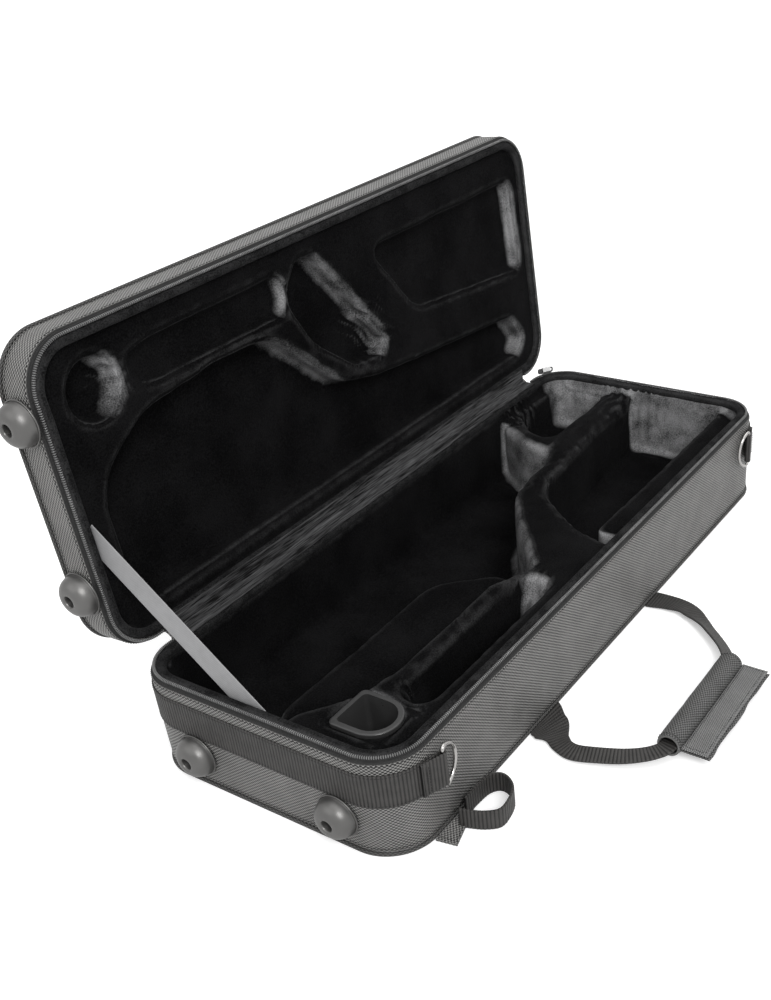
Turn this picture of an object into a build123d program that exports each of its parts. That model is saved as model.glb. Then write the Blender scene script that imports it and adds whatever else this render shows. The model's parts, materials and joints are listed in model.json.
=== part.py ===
from build123d import *
import os
from math import atan2, cos, degrees, radians, sin, sqrt

# Tenor saxophone case, lid open. Millimetres, +Z up.
# Origin: centre of the base's bottom face. +X runs along the case, -Y is the handle side,
# +Y is the hinge side. The lid is modelled shut and then turned open about the hinge line.

# Overall sizes
case_length = 840.0
case_width = 330.0
base_height = 119.0
lid_height = 47.0
corner_radius = 52.0
open_angle = 94.0
closed_gap = 0.6
hinge_offset = 3.0

# Shells: fabric over stiff foam board
wall = 8.0
floor_thickness = 8.0
wall_drop = 7.0

# Piping in the outer seams
piping_radius = 2.2
piping_rise = 2.3
piping_inset = 0.4
seam_chamfer = piping_inset + piping_rise + piping_radius * sqrt(2)

# Zip: a slanting tape with a coil on its upper edge, open along the hinge
tape_thickness = 1.3
tape_lean = 3.6
tape_top_drop = 3.2
coil_radius = 1.45
coil_inset = 4.3
zip_stop = 8.0

# Velour binding on the rim
binding_outset = 6.5
rim_inset = 16.0
binding_drop = 0.4
binding_round = 4.4

# The interior outlines are drawn for a case of this length and width and stretch with it
drawn_for = (840.0, 330.0)

# Plush-covered foam of the base
pad_thickness = 8.0
fit_clearance = 0.3
block_drop = 16.0
shelf_top = 55.0
mouth_bevel = 3.5
trough_floor = 42.0
bow_pocket_floor = 40.0
corner_block_drop = 24.0
ledge_drop = 19.0
draft = 5.0

# D-shaped mouthpiece cup
cup_width = 58.5
cup_depth = 63.5
cup_end_gap = 23.0
cup_side_gap = 27.0
cup_corner = 6.5
cup_lip_round = 1.8
cup_flange = 4.5
cup_flange_width = 6.0
cup_wall = 2.5
cup_bottom = 42.0

# Foam of the lid: depths measured from the lid's rim
lid_pocket_floor = 34.0
lid_trapezoid_floor = 26.0
lid_trough_floor = 24.0
lid_kidney_floor = 34.0
lid_well_radius = 32.0
lid_well_place = (-348.5, -98.0)
lid_well_floor = 33.0

# Domed feet on the left end
foot_radius = 24.0
foot_height = 20.0
foot_standoff = 2.2
foot_seat_radius = 17.0
foot_flange = 1.6
foot_ledge = 1.6
foot_shoulder_out = 0.68
foot_shoulder_up = 0.76
foot_spacing = 180.0
feet_ahead = 4.0
base_foot_rise = 39.5
lid_foot_rise = 24.5
foot_hole_radius = 6.5
screw_head_radius = 3.9
screw_head_height = 2.4
screw_head_round = 1.2
screw_shank_radius = 2.0
screw_seat = 6.0

# Webbing bands round the ends, with their D-ring loops
band_width = 39.0
band_thickness = 1.6
band_bottom = 61.0
band_reach = 62.0
ring_wire = 2.0
ring_side_gap = 2.5
ring_reach = 21.0
ring_corner = 3.5
ring_past_corner = 11.0
ring_standoff = 8.5
ring_lean = 8.0
loop_tail_angle = 15.0
loop_stitch_length = 8.0
loop_slit = 0.3

# Stay strap and hinge fabrics
stay_width = 30.0
stay_thickness = 1.2
stay_gap = 0.4
stay_lid_reach = 142.0
stay_lid_depth = 12.0
stay_foam_gap = 0.6
stay_base_y = 5.0
stay_base_drop = 15.0
strip_thickness = 1.2
strip_end_gap = 16.0
strip_lid_reach = 19.0
strip_rim_overlap = 15.5
strip_bend = 0.6
hinge_fabric_end_gap = 10.0
hinge_fabric_drop = 27.0
hinge_fabric_reach = 24.0
hinge_fabric_start = 1.4
hinge_fabric_sag = 1.0

# Carrying handle, lying slack on the floor
webbing_half_width = 9.5
webbing_thickness = 3.6
root_thickness = 2.0
root_rise = 1.2
handle_x = -56.0
grip_ahead = 141.0
grip_rise = 13.6
grip_inner_radius = 10.0
grip_wall = 3.2
grip_length = 158.0
grip_bend_gap = 12.0
grip_shift = -28.0
flange_thickness = 2.7
flange_reach = 41.0
flap_gap = 0.3
flap_overhang = 0.8
flap_corner = 2.0

# Lid's webbing loop
lid_handle_x = -40.0
lid_handle_half = 126.0
lid_handle_reach = 112.0
lid_handle_bend = 40.0
lid_handle_inset = 9.0

# Zip slider, parked on the right corner beside the hinge
slider_length = 12.0
slider_park_angle = 55.0
slider_gap = 1.0
slider_nose = 1.2
slider_plate = 2.4
slider_clear = 0.6
slider_chamfer = 1.0
pull_length = 24.0
pull_width = 8.0
pull_thickness = 1.4
pull_gap = 0.3
pull_corner = 3.0
pull_hole_radius = 2.0
pull_hole_inset = 4.0

# Backpack-strap anchor at the front left corner
tab_thickness = 2.4
tab_lift = 0.5
anchor_height = 24.0
anchor_thickness = 2.2

# Places that follow from the sizes above
half_length = case_length / 2
half_width = case_width / 2
hinge_y = half_width + hinge_offset
hinge_z = base_height + closed_gap / 2
wall_top = base_height - wall_drop
block_top = base_height - block_drop
floor_top = floor_thickness + pad_thickness
stretch_x = case_length / drawn_for[0]
stretch_y = case_width / drawn_for[1]
zip_end_x = half_length - corner_radius - zip_stop
inner_x = half_length - rim_inset
inner_y = half_width - rim_inset
lid_rim = base_height + closed_gap
lid_top = lid_rim + lid_height
cup_x = -inner_x + cup_end_gap + cup_width / 2
cup_back_y = -inner_y + cup_side_gap + cup_depth
ring_x = half_length - corner_radius - ring_past_corner
grip_y = -half_width - grip_ahead
grip_left = handle_x + grip_shift - grip_length / 2
grip_right = grip_left + grip_length
on_base = Location((0, 0, base_height))
shut_lid = Location((0, 0, lid_rim), (0, 180, 0))
open_lid = Location((0, hinge_y, hinge_z), (-open_angle, 0, 0)) * Location((0, -hinge_y, -hinge_z))


def lid_point(reach, depth):
    """World (y, z) of a point on the open lid: reach from the hinge line, depth out from it."""
    turn = radians(open_angle)
    y = hinge_y - reach * cos(turn) + depth * sin(turn)
    z = hinge_z + reach * sin(turn) + depth * cos(turn)
    return (y, z)


def outline(inset):
    return RectangleRounded(case_length - 2 * inset, case_width - 2 * inset, corner_radius - inset)


def slab(inset, low, high):
    return Pos(0, 0, low) * extrude(outline(inset), high - low)


def ring(outer, inner, low, high):
    return slab(outer, low, high) - slab(inner, low, high)


def shape(points, radii):
    """A closed face through corner points, each corner rounded by its own radius."""
    return make_face(FilletPolyline(*points, radius=radii, close=True).edges())


def inside_shape(points, radii):
    """A face of the interior: its corner points stretch with the case."""
    return shape([(x * stretch_x, y * stretch_y) for x, y in points], radii)


def block(face, low, high, taper=0.0):
    """A prism standing on `low`; a positive taper narrows it towards its top."""
    return Pos(0, 0, low) * extrude(face, high - low, taper=taper)


def pocket(face, mouth, floor, taper, way=-1):
    """A hollow cut from `mouth` towards its narrower floor, with a bevelled mouth.

    way is -1 for a hollow that goes down and 1 for one that goes up into the shut lid.
    """
    depth = abs(mouth - floor)
    hollow = extrude(face, depth, dir=(0, 0, way), taper=taper)
    bevel = extrude(offset(face, mouth_bevel), mouth_bevel, dir=(0, 0, way), taper=45)
    return Pos(0, 0, mouth) * (hollow + bevel)


# Halves of the case, each in its rim frame: rim plane at z = 0, body below it


def shell(height):
    """Open tray with rounded corners and a chamfered outer seam that carries the piping."""
    outer = slab(0, -height, -wall_drop)
    seam = outer.edges().filter_by_position(Axis.Z, -height - 0.01, -height + 0.01)
    outer = chamfer(seam, seam_chamfer)
    return outer - slab(wall, floor_thickness - height, 0)


def piping(height):
    """Round cord seated in the chamfer of the outer seam."""
    path = (Pos(0, 0, piping_rise - height) * outline(piping_inset)).wire()
    section = Plane((path ^ 0)) * Circle(piping_radius)
    return sweep(section, path=path)


def zip_track():
    """Line of the rim from one end of the hinge round the front to the other."""
    corners = [
        (-zip_end_x, half_width, 0),
        (-half_length, half_width, 0),
        (-half_length, -half_width, 0),
        (half_length, -half_width, 0),
        (half_length, half_width, 0),
        (zip_end_x, half_width, 0),
    ]
    return FilletPolyline(*corners, radius=corner_radius)


def along_zip(face_points):
    """Sweeps a section, given as (inset, height) points, along the zip."""
    start = Plane(origin=(-zip_end_x, half_width, 0), x_dir=(0, 1, 0), z_dir=(-1, 0, 0))
    local = [(-inset, -height) for inset, height in face_points]
    return sweep(start * make_face(Polyline(*local, close=True)), path=zip_track())


def zip_tape():
    section = [
        (0, -wall_drop),
        (tape_thickness, -wall_drop),
        (tape_lean + tape_thickness, -tape_top_drop),
        (tape_lean, -tape_top_drop),
    ]
    return along_zip(section)


def zip_coil():
    start = Plane(origin=(-zip_end_x, half_width, 0), x_dir=(0, 1, 0), z_dir=(-1, 0, 0))
    section = start * Pos(-coil_inset, tape_top_drop - coil_radius) * Circle(coil_radius)
    return sweep(section, path=zip_track())


def rim_binding():
    """Soft roll along the rim, round on both upper edges."""
    roll = ring(binding_outset, rim_inset, -wall_drop, -binding_drop)
    top = roll.edges().filter_by_position(Axis.Z, -binding_drop - 0.01, -binding_drop + 0.01)
    return fillet(top, binding_round)


# Foam of the base


def d_face(inset):
    """D outline of the mouthpiece cup: straight side to the hinge, round side to the handle."""
    radius = cup_width / 2 - inset
    centre_y = cup_back_y - cup_depth + cup_width / 2
    back = cup_back_y - inset
    left = cup_x - radius
    right = cup_x + radius
    edges = [
        Line((left, centre_y), (left, back)),
        Line((left, back), (right, back)),
        Line((right, back), (right, centre_y)),
        ThreePointArc((right, centre_y), (cup_x, centre_y - radius), (left, centre_y)),
    ]
    face = make_face(edges)
    return fillet(face.vertices().sort_by(Axis.Y)[-2:], cup_corner * radius / (cup_width / 2))


def mouthpiece_cup():
    rim = block(d_face(0), block_top, block_top + cup_flange)
    upper = rim.edges().filter_by_position(Axis.Z, rim.bounding_box().max.Z - 0.01, base_height)
    rim = fillet(upper, cup_lip_round)
    body = block(d_face(cup_flange_width - cup_wall), cup_bottom, block_top)
    hollow = block(d_face(cup_flange_width), cup_bottom + cup_wall, base_height)
    return rim + body - hollow


def in_tray(face, high):
    """Foam on the floor pad, trimmed to the lining of the walls."""
    return block(face, floor_top, high) & slab(rim_inset, floor_top, high)


def front_block_face():
    corners = [
        (-430, -20),
        (-430, -180),
        (-46.5, -180),
        (-54, -92),
        (-110, -66),
        (-263, -68),
        (-319, -60),
        (-345, -50),
        (-385, -20),
    ]
    return inside_shape(corners, [1, 1, 1, 12, 50, 80, 30, 30, 14])


def trough_face():
    corners = [(-326, -128), (-74, -128), (-70, -92), (-110, -82), (-230, -82), (-304, -84)]
    return inside_shape(corners, [18, 16, 10, 30, 60, 18])


def front_block():
    """Front foam: a plateau round the cup and a long trough behind a thin curved ridge."""
    solid = in_tray(front_block_face(), block_top)
    cup_hole = cup_flange_width - cup_wall - fit_clearance
    solid -= block(d_face(cup_hole), cup_bottom - fit_clearance, base_height)
    return solid - pocket(trough_face(), block_top, trough_floor, 2 * draft)


def partition_face():
    """Curved divider from the handle side to the right end."""
    corners = [
        (-46, -180),
        (-53, -90),
        (23, -23),
        (75, 14),
        (126, 24),
        (177, 27),
        (236, 51),
        (430, 57),
        (430, 23),
        (279, 18),
        (177, 4),
        (126, 0),
        (92, -24),
        (44, -91),
        (14, -180),
    ]
    return inside_shape(corners, [1, 14, 60, 60, 60, 60, 40, 1, 1, 80, 80, 40, 60, 120, 1])


def corner_block_face():
    corners = [(214, 38), (430, 40), (430, 180), (286, 180), (226, 92)]
    return inside_shape(corners, [12, 1, 1, 1, 40])


def bow_pocket_face():
    corners = [(246, 62), (397, 62), (397, 142), (296, 142), (256, 100)]
    return inside_shape(corners, [16, 12, 28, 20, 36])


def corner_block():
    """Lower block in the back right corner, behind the divider, with a deep pocket."""
    top = base_height - corner_block_drop
    solid = in_tray(corner_block_face(), top) - in_tray(partition_face(), block_top)
    return solid - pocket(bow_pocket_face(), top, bow_pocket_floor, draft)


def ledge_block():
    """Long narrow block along the handle side of the right compartment."""
    corners = [(45, -180), (45, -113), (430, -113), (430, -180)]
    return in_tray(inside_shape(corners, [1, 16, 1, 1]), base_height - ledge_drop)


def shelf_face():
    corners = [(-384, -14), (-344, -80), (-40, -80), (-18, -24), (-70, 42), (-340, 44), (-384, 20)]
    return inside_shape(corners, [20, 10, 10, 20, 60, 40, 30])


def body_shelf():
    """Low step in front of the main hollow, fitted against the two taller blocks."""
    taller = front_block_face() + partition_face()
    return block(shelf_face(), floor_top, shelf_top) - block(taller, floor_top, block_top)


# Foam of the lid, cut while the lid is shut and its hollows open downwards


def lid_hollow_face():
    corners = [
        (-374, 132),
        (-374, -12),
        (-300, -58),
        (-194, -69),
        (-112, -66),
        (-14, 25),
        (57, 43),
        (352, 72),
        (382, 112),
        (360, 132),
    ]
    return inside_shape(corners, [40, 60, 60, 120, 70, 50, 200, 24, 12, 6])


def lid_trough_face():
    corners = [(-305, -84), (-305, -116), (-270, -123), (-73, -124), (-73, -78), (-270, -78)]
    return inside_shape(corners, [10, 10, 40, 20, 20, 40])


def kidney_face():
    corners = [
        (-46, -132),
        (-18, -124),
        (40, -52),
        (80, 8),
        (66, 24),
        (18, 18),
        (-44, -30),
        (-78, -92),
    ]
    return inside_shape(corners, [16, 24, 200, 12, 14, 30, 120, 30])


def trapezoid_face():
    corners = [(74, -106), (388, -107), (392, 17), (148, -9)]
    return inside_shape(corners, [12, 16, 14, 40])


def lid_foam():
    """One moulded block with a large hollow, a round well, a trough and two shaped recesses."""
    low = lid_rim + wall_drop
    high = lid_top - floor_thickness
    solid = slab(wall, low, high)
    well_x, well_y = lid_well_place
    well_face = Pos(well_x * stretch_x, well_y * stretch_y) * Circle(lid_well_radius)
    hollows = [
        (lid_hollow_face(), lid_pocket_floor, draft),
        (lid_trough_face(), lid_trough_floor, 2 * draft),
        (kidney_face(), lid_kidney_floor, draft),
        (trapezoid_face(), lid_trapezoid_floor, 2 * draft),
        (well_face, lid_well_floor, draft),
    ]
    for face, depth, taper in hollows:
        solid -= pocket(face, low, lid_rim + depth, taper, way=1)
    return solid


# Feet and their screws


def foot():
    """Domed foot seen along its own axis: seat at z = 0, dome up."""
    rim_top = foot_standoff + foot_flange
    dome_start = (foot_radius - foot_ledge, rim_top)
    shoulder = (foot_radius * foot_shoulder_out, foot_height * foot_shoulder_up)
    apex = (foot_hole_radius, foot_height)
    underside = Polyline(
        (screw_shank_radius, 0),
        (foot_seat_radius, 0),
        (foot_seat_radius, foot_standoff),
        (foot_radius, foot_standoff),
        (foot_radius, rim_top),
        dome_start,
    )
    bore = Polyline(
        apex,
        (foot_hole_radius, screw_seat),
        (screw_shank_radius, screw_seat),
        (screw_shank_radius, 0),
    )
    dome = ThreePointArc(dome_start, shoulder, apex)
    profile = make_face(underside.edges() + bore.edges() + dome.edges())
    return revolve(Plane.XZ * profile, Axis.Z)


def foot_screw():
    head = Pos(0, 0, screw_seat) * extrude(Circle(screw_head_radius), screw_head_height)
    head = fillet(head.edges().sort_by(Axis.Z)[-1], screw_head_round)
    return head + extrude(Circle(screw_shank_radius), screw_seat)


def feet_places(rise):
    left_wall = Plane(origin=(-half_length, 0, rise), x_dir=(0, 1, 0), z_dir=(-1, 0, 0))
    return [left_wall * Pos(side * foot_spacing / 2 - feet_ahead, 0) for side in (-1, 1)]


def at_each(places, piece):
    return Compound(children=[place * piece for place in places])


# Webbing bands, D-rings and their loops


def end_band(side):
    """Band of webbing round one end, from the hinge-side corner to the handle-side corner."""
    band = ring(-band_thickness, 0, band_bottom, band_bottom + band_width)
    middle = Pos(side * (half_length - corner_radius + band_reach / 2), 0, base_height / 2)
    return band & middle * Box(band_reach, case_width + 4 * band_thickness, base_height)


def ring_pin(side):
    return (side * ring_x, -half_width - ring_standoff)


def ring_loop(side):
    """Folded webbing: two plies that meet at the sewn tail and open round the ring's bar."""
    pin_x, pin_y = ring_pin(side)
    hole = ring_wire + fit_clearance
    outer = hole + band_thickness
    swing = corner_radius + 2 * band_thickness + fit_clearance
    turn = radians(loop_tail_angle)
    tail_x = side * (half_length - corner_radius + swing * sin(turn))
    tail_y = -half_width + corner_radius - swing * cos(turn)
    face = teardrop((tail_x, tail_y), band_thickness, (pin_x, pin_y), outer)
    slit_x = tail_x - side * loop_stitch_length
    slit_y = tail_y + (pin_y - tail_y) * loop_stitch_length / abs(pin_x - tail_x)
    hollow = teardrop((slit_x, slit_y), loop_slit, (pin_x, pin_y), hole)
    return block(face - hollow, band_bottom, band_bottom + band_width)


def teardrop(tail, tail_radius, eye, eye_radius):
    """Outline of a band laid round two circles."""
    small = Pos(tail[0], tail[1]) * Circle(tail_radius)
    large = Pos(eye[0], eye[1]) * Circle(eye_radius)
    return make_hull(small.edges() + large.edges())


def d_ring(side):
    """Round-wire D: a straight bar held in the loop and a half-round bow."""
    half = band_width / 2 + ring_side_gap + ring_wire
    bow = [
        Line((0, -half), (0, half)),
        ThreePointArc((0, half), (ring_reach + ring_wire, 0), (0, -half)),
    ]
    face = fillet(make_face(bow).vertices(), ring_corner)
    path = face.wire()
    wire = sweep(Plane(path ^ 0) * Circle(ring_wire), path=path)
    pin_x, pin_y = ring_pin(side)
    stand = Location((pin_x, pin_y, band_bottom + band_width / 2))
    facing = Location((0, 0, 0), (0, 0, ring_lean if side < 0 else 180 - ring_lean))
    return stand * facing * Location((0, 0, 0), (90, 0, 0)) * wire


# Fabrics that cross the hinge


def hinge_inner_strip():
    """Velour strip from the base's back rim up to the lid's rim."""
    low = base_height - binding_drop + fit_clearance
    edge_y = half_width - strip_rim_overlap
    lid_face = closed_gap / 2 + binding_drop - fit_clearance
    inner_bend = strip_bend + strip_thickness
    points = [
        (edge_y, low),
        (hinge_y - strip_bend, low),
        lid_point(strip_bend, lid_face),
        lid_point(strip_lid_reach, lid_face),
        lid_point(strip_lid_reach, lid_face - strip_thickness),
        lid_point(inner_bend, lid_face - strip_thickness),
        (hinge_y - inner_bend, low + strip_thickness),
        (edge_y, low + strip_thickness),
    ]
    return across_hinge(points, strip_end_gap)


def hinge_outer_fabric():
    """Outer cover fabric from the base's back wall to the lid's back wall."""
    back = half_width + fit_clearance
    outer = back + strip_thickness
    lid_wall = hinge_offset - fit_clearance
    bend = wall_drop + hinge_fabric_start
    points = [
        (back, base_height - hinge_fabric_drop),
        (outer, base_height - hinge_fabric_drop),
        (outer, base_height - 2 * strip_thickness),
        lid_point(lid_wall - strip_thickness - hinge_fabric_sag, bend),
        lid_point(lid_wall - strip_thickness, hinge_fabric_reach),
        lid_point(lid_wall, hinge_fabric_reach),
        lid_point(lid_wall, bend),
        (hinge_y + strip_thickness, base_height - strip_thickness / 2),
        (back, base_height - strip_thickness / 2),
    ]
    return across_hinge(points, hinge_fabric_end_gap)


def across_hinge(points, end_gap):
    """Extrudes a side view along the straight part of the hinge side."""
    half = half_length - corner_radius - end_gap
    side_view = Plane(origin=(-half, 0, 0), x_dir=(0, 1, 0), z_dir=(1, 0, 0))
    return extrude(side_view * make_face(Polyline(*points, close=True)), 2 * half)


def stay_strap():
    """Flat ribbon that stops the lid, from the lid's left rim to the base's left rim."""
    base_end = Vector(stay_base_y, base_height - stay_base_drop)
    lid_y, lid_z = lid_point(stay_lid_reach, stay_lid_depth)
    run = Vector(lid_y, lid_z) - base_end
    length = run.length
    angle = degrees(atan2(run.Y, run.X))
    left = -inner_x + stay_gap
    side_view = Plane(origin=(left, 0, 0), x_dir=(0, 1, 0), z_dir=(1, 0, 0))
    ribbon = side_view * Location((base_end.X, base_end.Y, 0), (0, 0, angle)) * Pos(length / 2, 0)
    strap = extrude(ribbon * Rectangle(length, stay_width), stay_thickness)
    return strap - open_lid * slab(0, lid_rim + wall_drop - stay_foam_gap, lid_top)


# Carrying handles


def swept_webbing(points, radii):
    path = FilletPolyline(*points, radius=radii)
    start = path @ 0
    along = path % 0
    across = Vector(along.Y, -along.X, 0)
    section = Plane(origin=start, x_dir=across, z_dir=along) * Rectangle(
        2 * webbing_half_width, webbing_thickness
    )
    return sweep(section, path=path)


def from_corner(points, x, y):
    """Points given as distances from a place on the plan."""
    return [(x + point[0], y + point[1], *point[2:]) for point in points]


def in_reaches(points):
    """Points beside the front wall, in units of the grip's distance from it."""
    return [(handle_x + x * grip_ahead, -half_width - y * grip_ahead, *z) for x, y, *z in points]


def handle_strap():
    """Webbing folded narrow between two flat roots sewn into the bottom seam."""
    lie = root_rise + webbing_thickness / 2
    middle = (lie + grip_rise) / 2
    path = in_reaches([(-0.82, 0.18, lie), (-1.11, 0.33, lie), (-1.04, 0.55, lie), (-0.97, 0.74, middle)])
    path += [(grip_left - grip_bend_gap, grip_y, grip_rise), (grip_right + grip_bend_gap, grip_y, grip_rise)]
    path += in_reaches([(0.70, 0.77, middle), (0.92, 0.48, lie), (0.99, 0.28, lie), (0.99, 0.18, lie)])
    strap = swept_webbing(path, [14, 60, 60, 20, 20, 60, 60, 10])
    seam = (piping_radius - piping_inset + fit_clearance) / grip_ahead
    near_root = in_reaches([(-0.99, seam), (-0.60, seam), (-0.85, 0.22), (-1.02, 0.28)])
    far_root = in_reaches([(0.87, seam), (1.14, seam), (1.08, 0.25), (0.92, 0.25)])
    for root in (near_root, far_root):
        strap += block(shape(root, [2, 2, 6, 3]), root_rise, root_rise + root_thickness)
    return strap


def handle_grip():
    """Padded wrap: an open tube round the strap with its lower hook-and-loop flange."""
    outer = grip_inner_radius + grip_wall
    end_view = Plane(origin=(grip_left, 0, 0), x_dir=(0, 1, 0), z_dir=(1, 0, 0))
    tube = Pos(grip_y, grip_rise) * Circle(outer)
    flange_low = grip_rise - flange_thickness
    flange = Pos(grip_y - flange_reach / 2, flange_low + flange_thickness / 2) * Rectangle(
        flange_reach, flange_thickness
    )
    hollow = Pos(grip_y, grip_rise) * Circle(grip_inner_radius)
    return extrude(end_view * (tube + flange - hollow), grip_right - grip_left)


def grip_flap():
    """Upper flange of the wrap, which peels open."""
    start = grip_y - grip_inner_radius - grip_wall - flap_gap
    end = grip_y - flange_reach - flap_overhang
    low = grip_rise + flap_gap
    middle_x = (grip_left + grip_right) / 2
    plate = Pos(middle_x, (start + end) / 2, low + flange_thickness / 2) * Box(
        grip_right - grip_left, start - end, flange_thickness
    )
    return fillet(plate.edges().filter_by(Axis.Z), flap_corner)


def lid_handle_strap():
    """Matching webbing loop on the lid, hanging from its free edge behind it."""
    level = lid_top + fit_clearance + webbing_thickness / 2
    root_y = -half_width + lid_handle_inset
    shoulder = lid_handle_reach - lid_handle_bend * 0.75
    points = [
        (-lid_handle_half, 0, 0),
        (-lid_handle_half + lid_handle_bend * 0.15, shoulder, 0),
        (-lid_handle_half + lid_handle_bend * 1.15, lid_handle_reach, 0),
        (lid_handle_half - lid_handle_bend * 1.15, lid_handle_reach, 0),
        (lid_handle_half - lid_handle_bend * 0.15, shoulder, 0),
        (lid_handle_half, 0, 0),
    ]
    placed = [(lid_handle_x + x, root_y + y, level) for x, y, z in points]
    strap = swept_webbing(placed, lid_handle_bend)
    pivot = Location((0, root_y, level))
    hang = pivot * Location((0, 0, 0), (open_angle - 90, 0, 0)) * pivot.inverse()
    return hang * strap


# Zip slider


def slider_place():
    """Frame of the parked slider: x out from the corner, y along the zip, z up."""
    centre = (half_length - corner_radius, half_width - corner_radius, base_height)
    return Location(centre, (0, 0, slider_park_angle)) * Pos(corner_radius, 0, 0)


def slider():
    """Wedge-shaped body that fills the groove between the two tapes."""
    middle = closed_gap / 2
    half = wall_drop - slider_clear
    face = slider_gap + slider_plate
    points = [
        (-tape_lean + slider_gap, middle - slider_nose),
        (-tape_lean + slider_gap, middle + slider_nose),
        (slider_gap, middle + half),
        (face, middle + half - slider_chamfer),
        (face, middle - half + slider_chamfer),
        (slider_gap, middle - half),
    ]
    view = Plane(origin=(0, slider_length / 2, 0), x_dir=(1, 0, 0), z_dir=(0, -1, 0))
    body = extrude(view * make_face(Polyline(*points, close=True)), slider_length)
    return slider_place() * body


def zip_pull():
    """Flat pull with a hole, lying beside the slider."""
    hole = Pos(0, pull_length / 2 - pull_hole_inset) * Circle(pull_hole_radius)
    face = RectangleRounded(pull_width, pull_length, pull_corner) - hole
    plate = extrude(Plane.YZ * Rot(0, 0, 90) * face, pull_thickness)
    out = slider_gap + slider_plate + pull_gap
    return slider_place() * Pos(out, 0, closed_gap / 2) * plate


# Backpack-strap anchor


def strap_tab():
    """Small tab from the bottom seam at the front left corner, sewn round its webbing."""
    corners = from_corner([(40, 15), (49, -25), (102, -10), (120, 15)], -half_length, -half_width)
    keep_out = piping_radius - piping_inset + fit_clearance
    tab = block(shape(corners, [1, 2, 2, 1]), tab_lift, tab_lift + tab_thickness)
    return tab - slab(-keep_out, 0, base_height) - strap_tab_webbing()


def strap_tab_webbing():
    """Short loop of webbing standing on edge at the tab."""
    middle = tab_lift + anchor_height / 2
    points = [
        (88, -10, middle),
        (126, -12, middle),
        (136, -27, middle),
        (120, -47, middle),
        (86, -49, middle),
        (72, -12, middle),
    ]
    path = FilletPolyline(*from_corner(points, -half_length, -half_width), radius=[6, 10, 12, 10])
    start = Plane(origin=path @ 0, x_dir=(0, 0, 1), z_dir=path % 0)
    return sweep(start * Rectangle(anchor_height, anchor_thickness), path=path)


def build():
    lid = open_lid * shut_lid
    return {
        "base_shell": on_base * shell(base_height),
        "base_piping": on_base * piping(base_height),
        "base_zip_tape": on_base * zip_tape(),
        "base_zip_coil": on_base * zip_coil(),
        "base_rim_binding": on_base * rim_binding(),
        "base_floor_pad": slab(wall, floor_thickness, floor_top),
        "base_wall_lining": ring(wall, rim_inset, floor_top, wall_top),
        "front_foam_block": front_block(),
        "partition_foam_block": in_tray(partition_face(), block_top),
        "corner_foam_block": corner_block(),
        "ledge_foam_block": ledge_block(),
        "body_shelf_foam": body_shelf(),
        "mouthpiece_cup": mouthpiece_cup(),
        "end_band_left": end_band(-1),
        "end_band_right": end_band(1),
        "ring_loop_left": ring_loop(-1),
        "ring_loop_right": ring_loop(1),
        "d_ring_left": d_ring(-1),
        "d_ring_right": d_ring(1),
        "base_feet": at_each(feet_places(base_foot_rise), foot()),
        "base_foot_screws": at_each(feet_places(base_foot_rise), foot_screw()),
        "strap_tab": strap_tab(),
        "strap_tab_webbing": strap_tab_webbing(),
        "hinge_outer_fabric": hinge_outer_fabric(),
        "hinge_inner_strip": hinge_inner_strip(),
        "stay_strap": stay_strap(),
        "lid_shell": lid * shell(lid_height),
        "lid_piping": lid * piping(lid_height),
        "lid_zip_tape": lid * zip_tape(),
        "lid_zip_coil": lid * zip_coil(),
        "lid_rim_binding": lid * rim_binding(),
        "lid_foam_block": open_lid * lid_foam(),
        "lid_feet": open_lid * at_each(feet_places(lid_rim + lid_foot_rise), foot()),
        "lid_foot_screws": open_lid * at_each(feet_places(lid_rim + lid_foot_rise), foot_screw()),
        "handle_strap": handle_strap(),
        "handle_grip": handle_grip(),
        "grip_flap": grip_flap(),
        "lid_handle_strap": open_lid * lid_handle_strap(),
        "zip_slider": slider(),
        "zip_pull": zip_pull(),
    }


os.makedirs("parts", exist_ok=True)
for node, solid in build().items():
    export_step(solid, f"parts/{node}.step")
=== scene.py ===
import bmesh
import bpy
import json
from math import ceil, cos, pi, radians, sin
from mathutils import Matrix, Vector, noise


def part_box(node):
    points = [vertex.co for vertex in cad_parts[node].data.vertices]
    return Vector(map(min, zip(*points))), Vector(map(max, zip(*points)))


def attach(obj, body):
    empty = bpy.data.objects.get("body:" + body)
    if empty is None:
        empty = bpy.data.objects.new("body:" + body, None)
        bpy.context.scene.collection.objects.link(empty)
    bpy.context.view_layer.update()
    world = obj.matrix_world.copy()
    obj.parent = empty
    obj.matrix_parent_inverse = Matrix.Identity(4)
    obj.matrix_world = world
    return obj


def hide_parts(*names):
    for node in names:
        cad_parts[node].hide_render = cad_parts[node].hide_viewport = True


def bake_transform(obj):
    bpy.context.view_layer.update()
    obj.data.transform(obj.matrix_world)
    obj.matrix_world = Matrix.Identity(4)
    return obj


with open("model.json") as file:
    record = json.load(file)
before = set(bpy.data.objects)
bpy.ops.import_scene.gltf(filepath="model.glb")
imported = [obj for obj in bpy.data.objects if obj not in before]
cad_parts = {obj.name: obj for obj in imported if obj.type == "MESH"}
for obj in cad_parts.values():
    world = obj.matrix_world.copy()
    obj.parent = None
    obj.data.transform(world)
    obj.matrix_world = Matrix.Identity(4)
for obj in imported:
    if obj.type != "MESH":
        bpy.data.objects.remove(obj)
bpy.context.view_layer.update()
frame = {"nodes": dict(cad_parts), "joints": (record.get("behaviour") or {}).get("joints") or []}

# Tenor saxophone case, lid open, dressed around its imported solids. Metres, in the part's frame.

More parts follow.
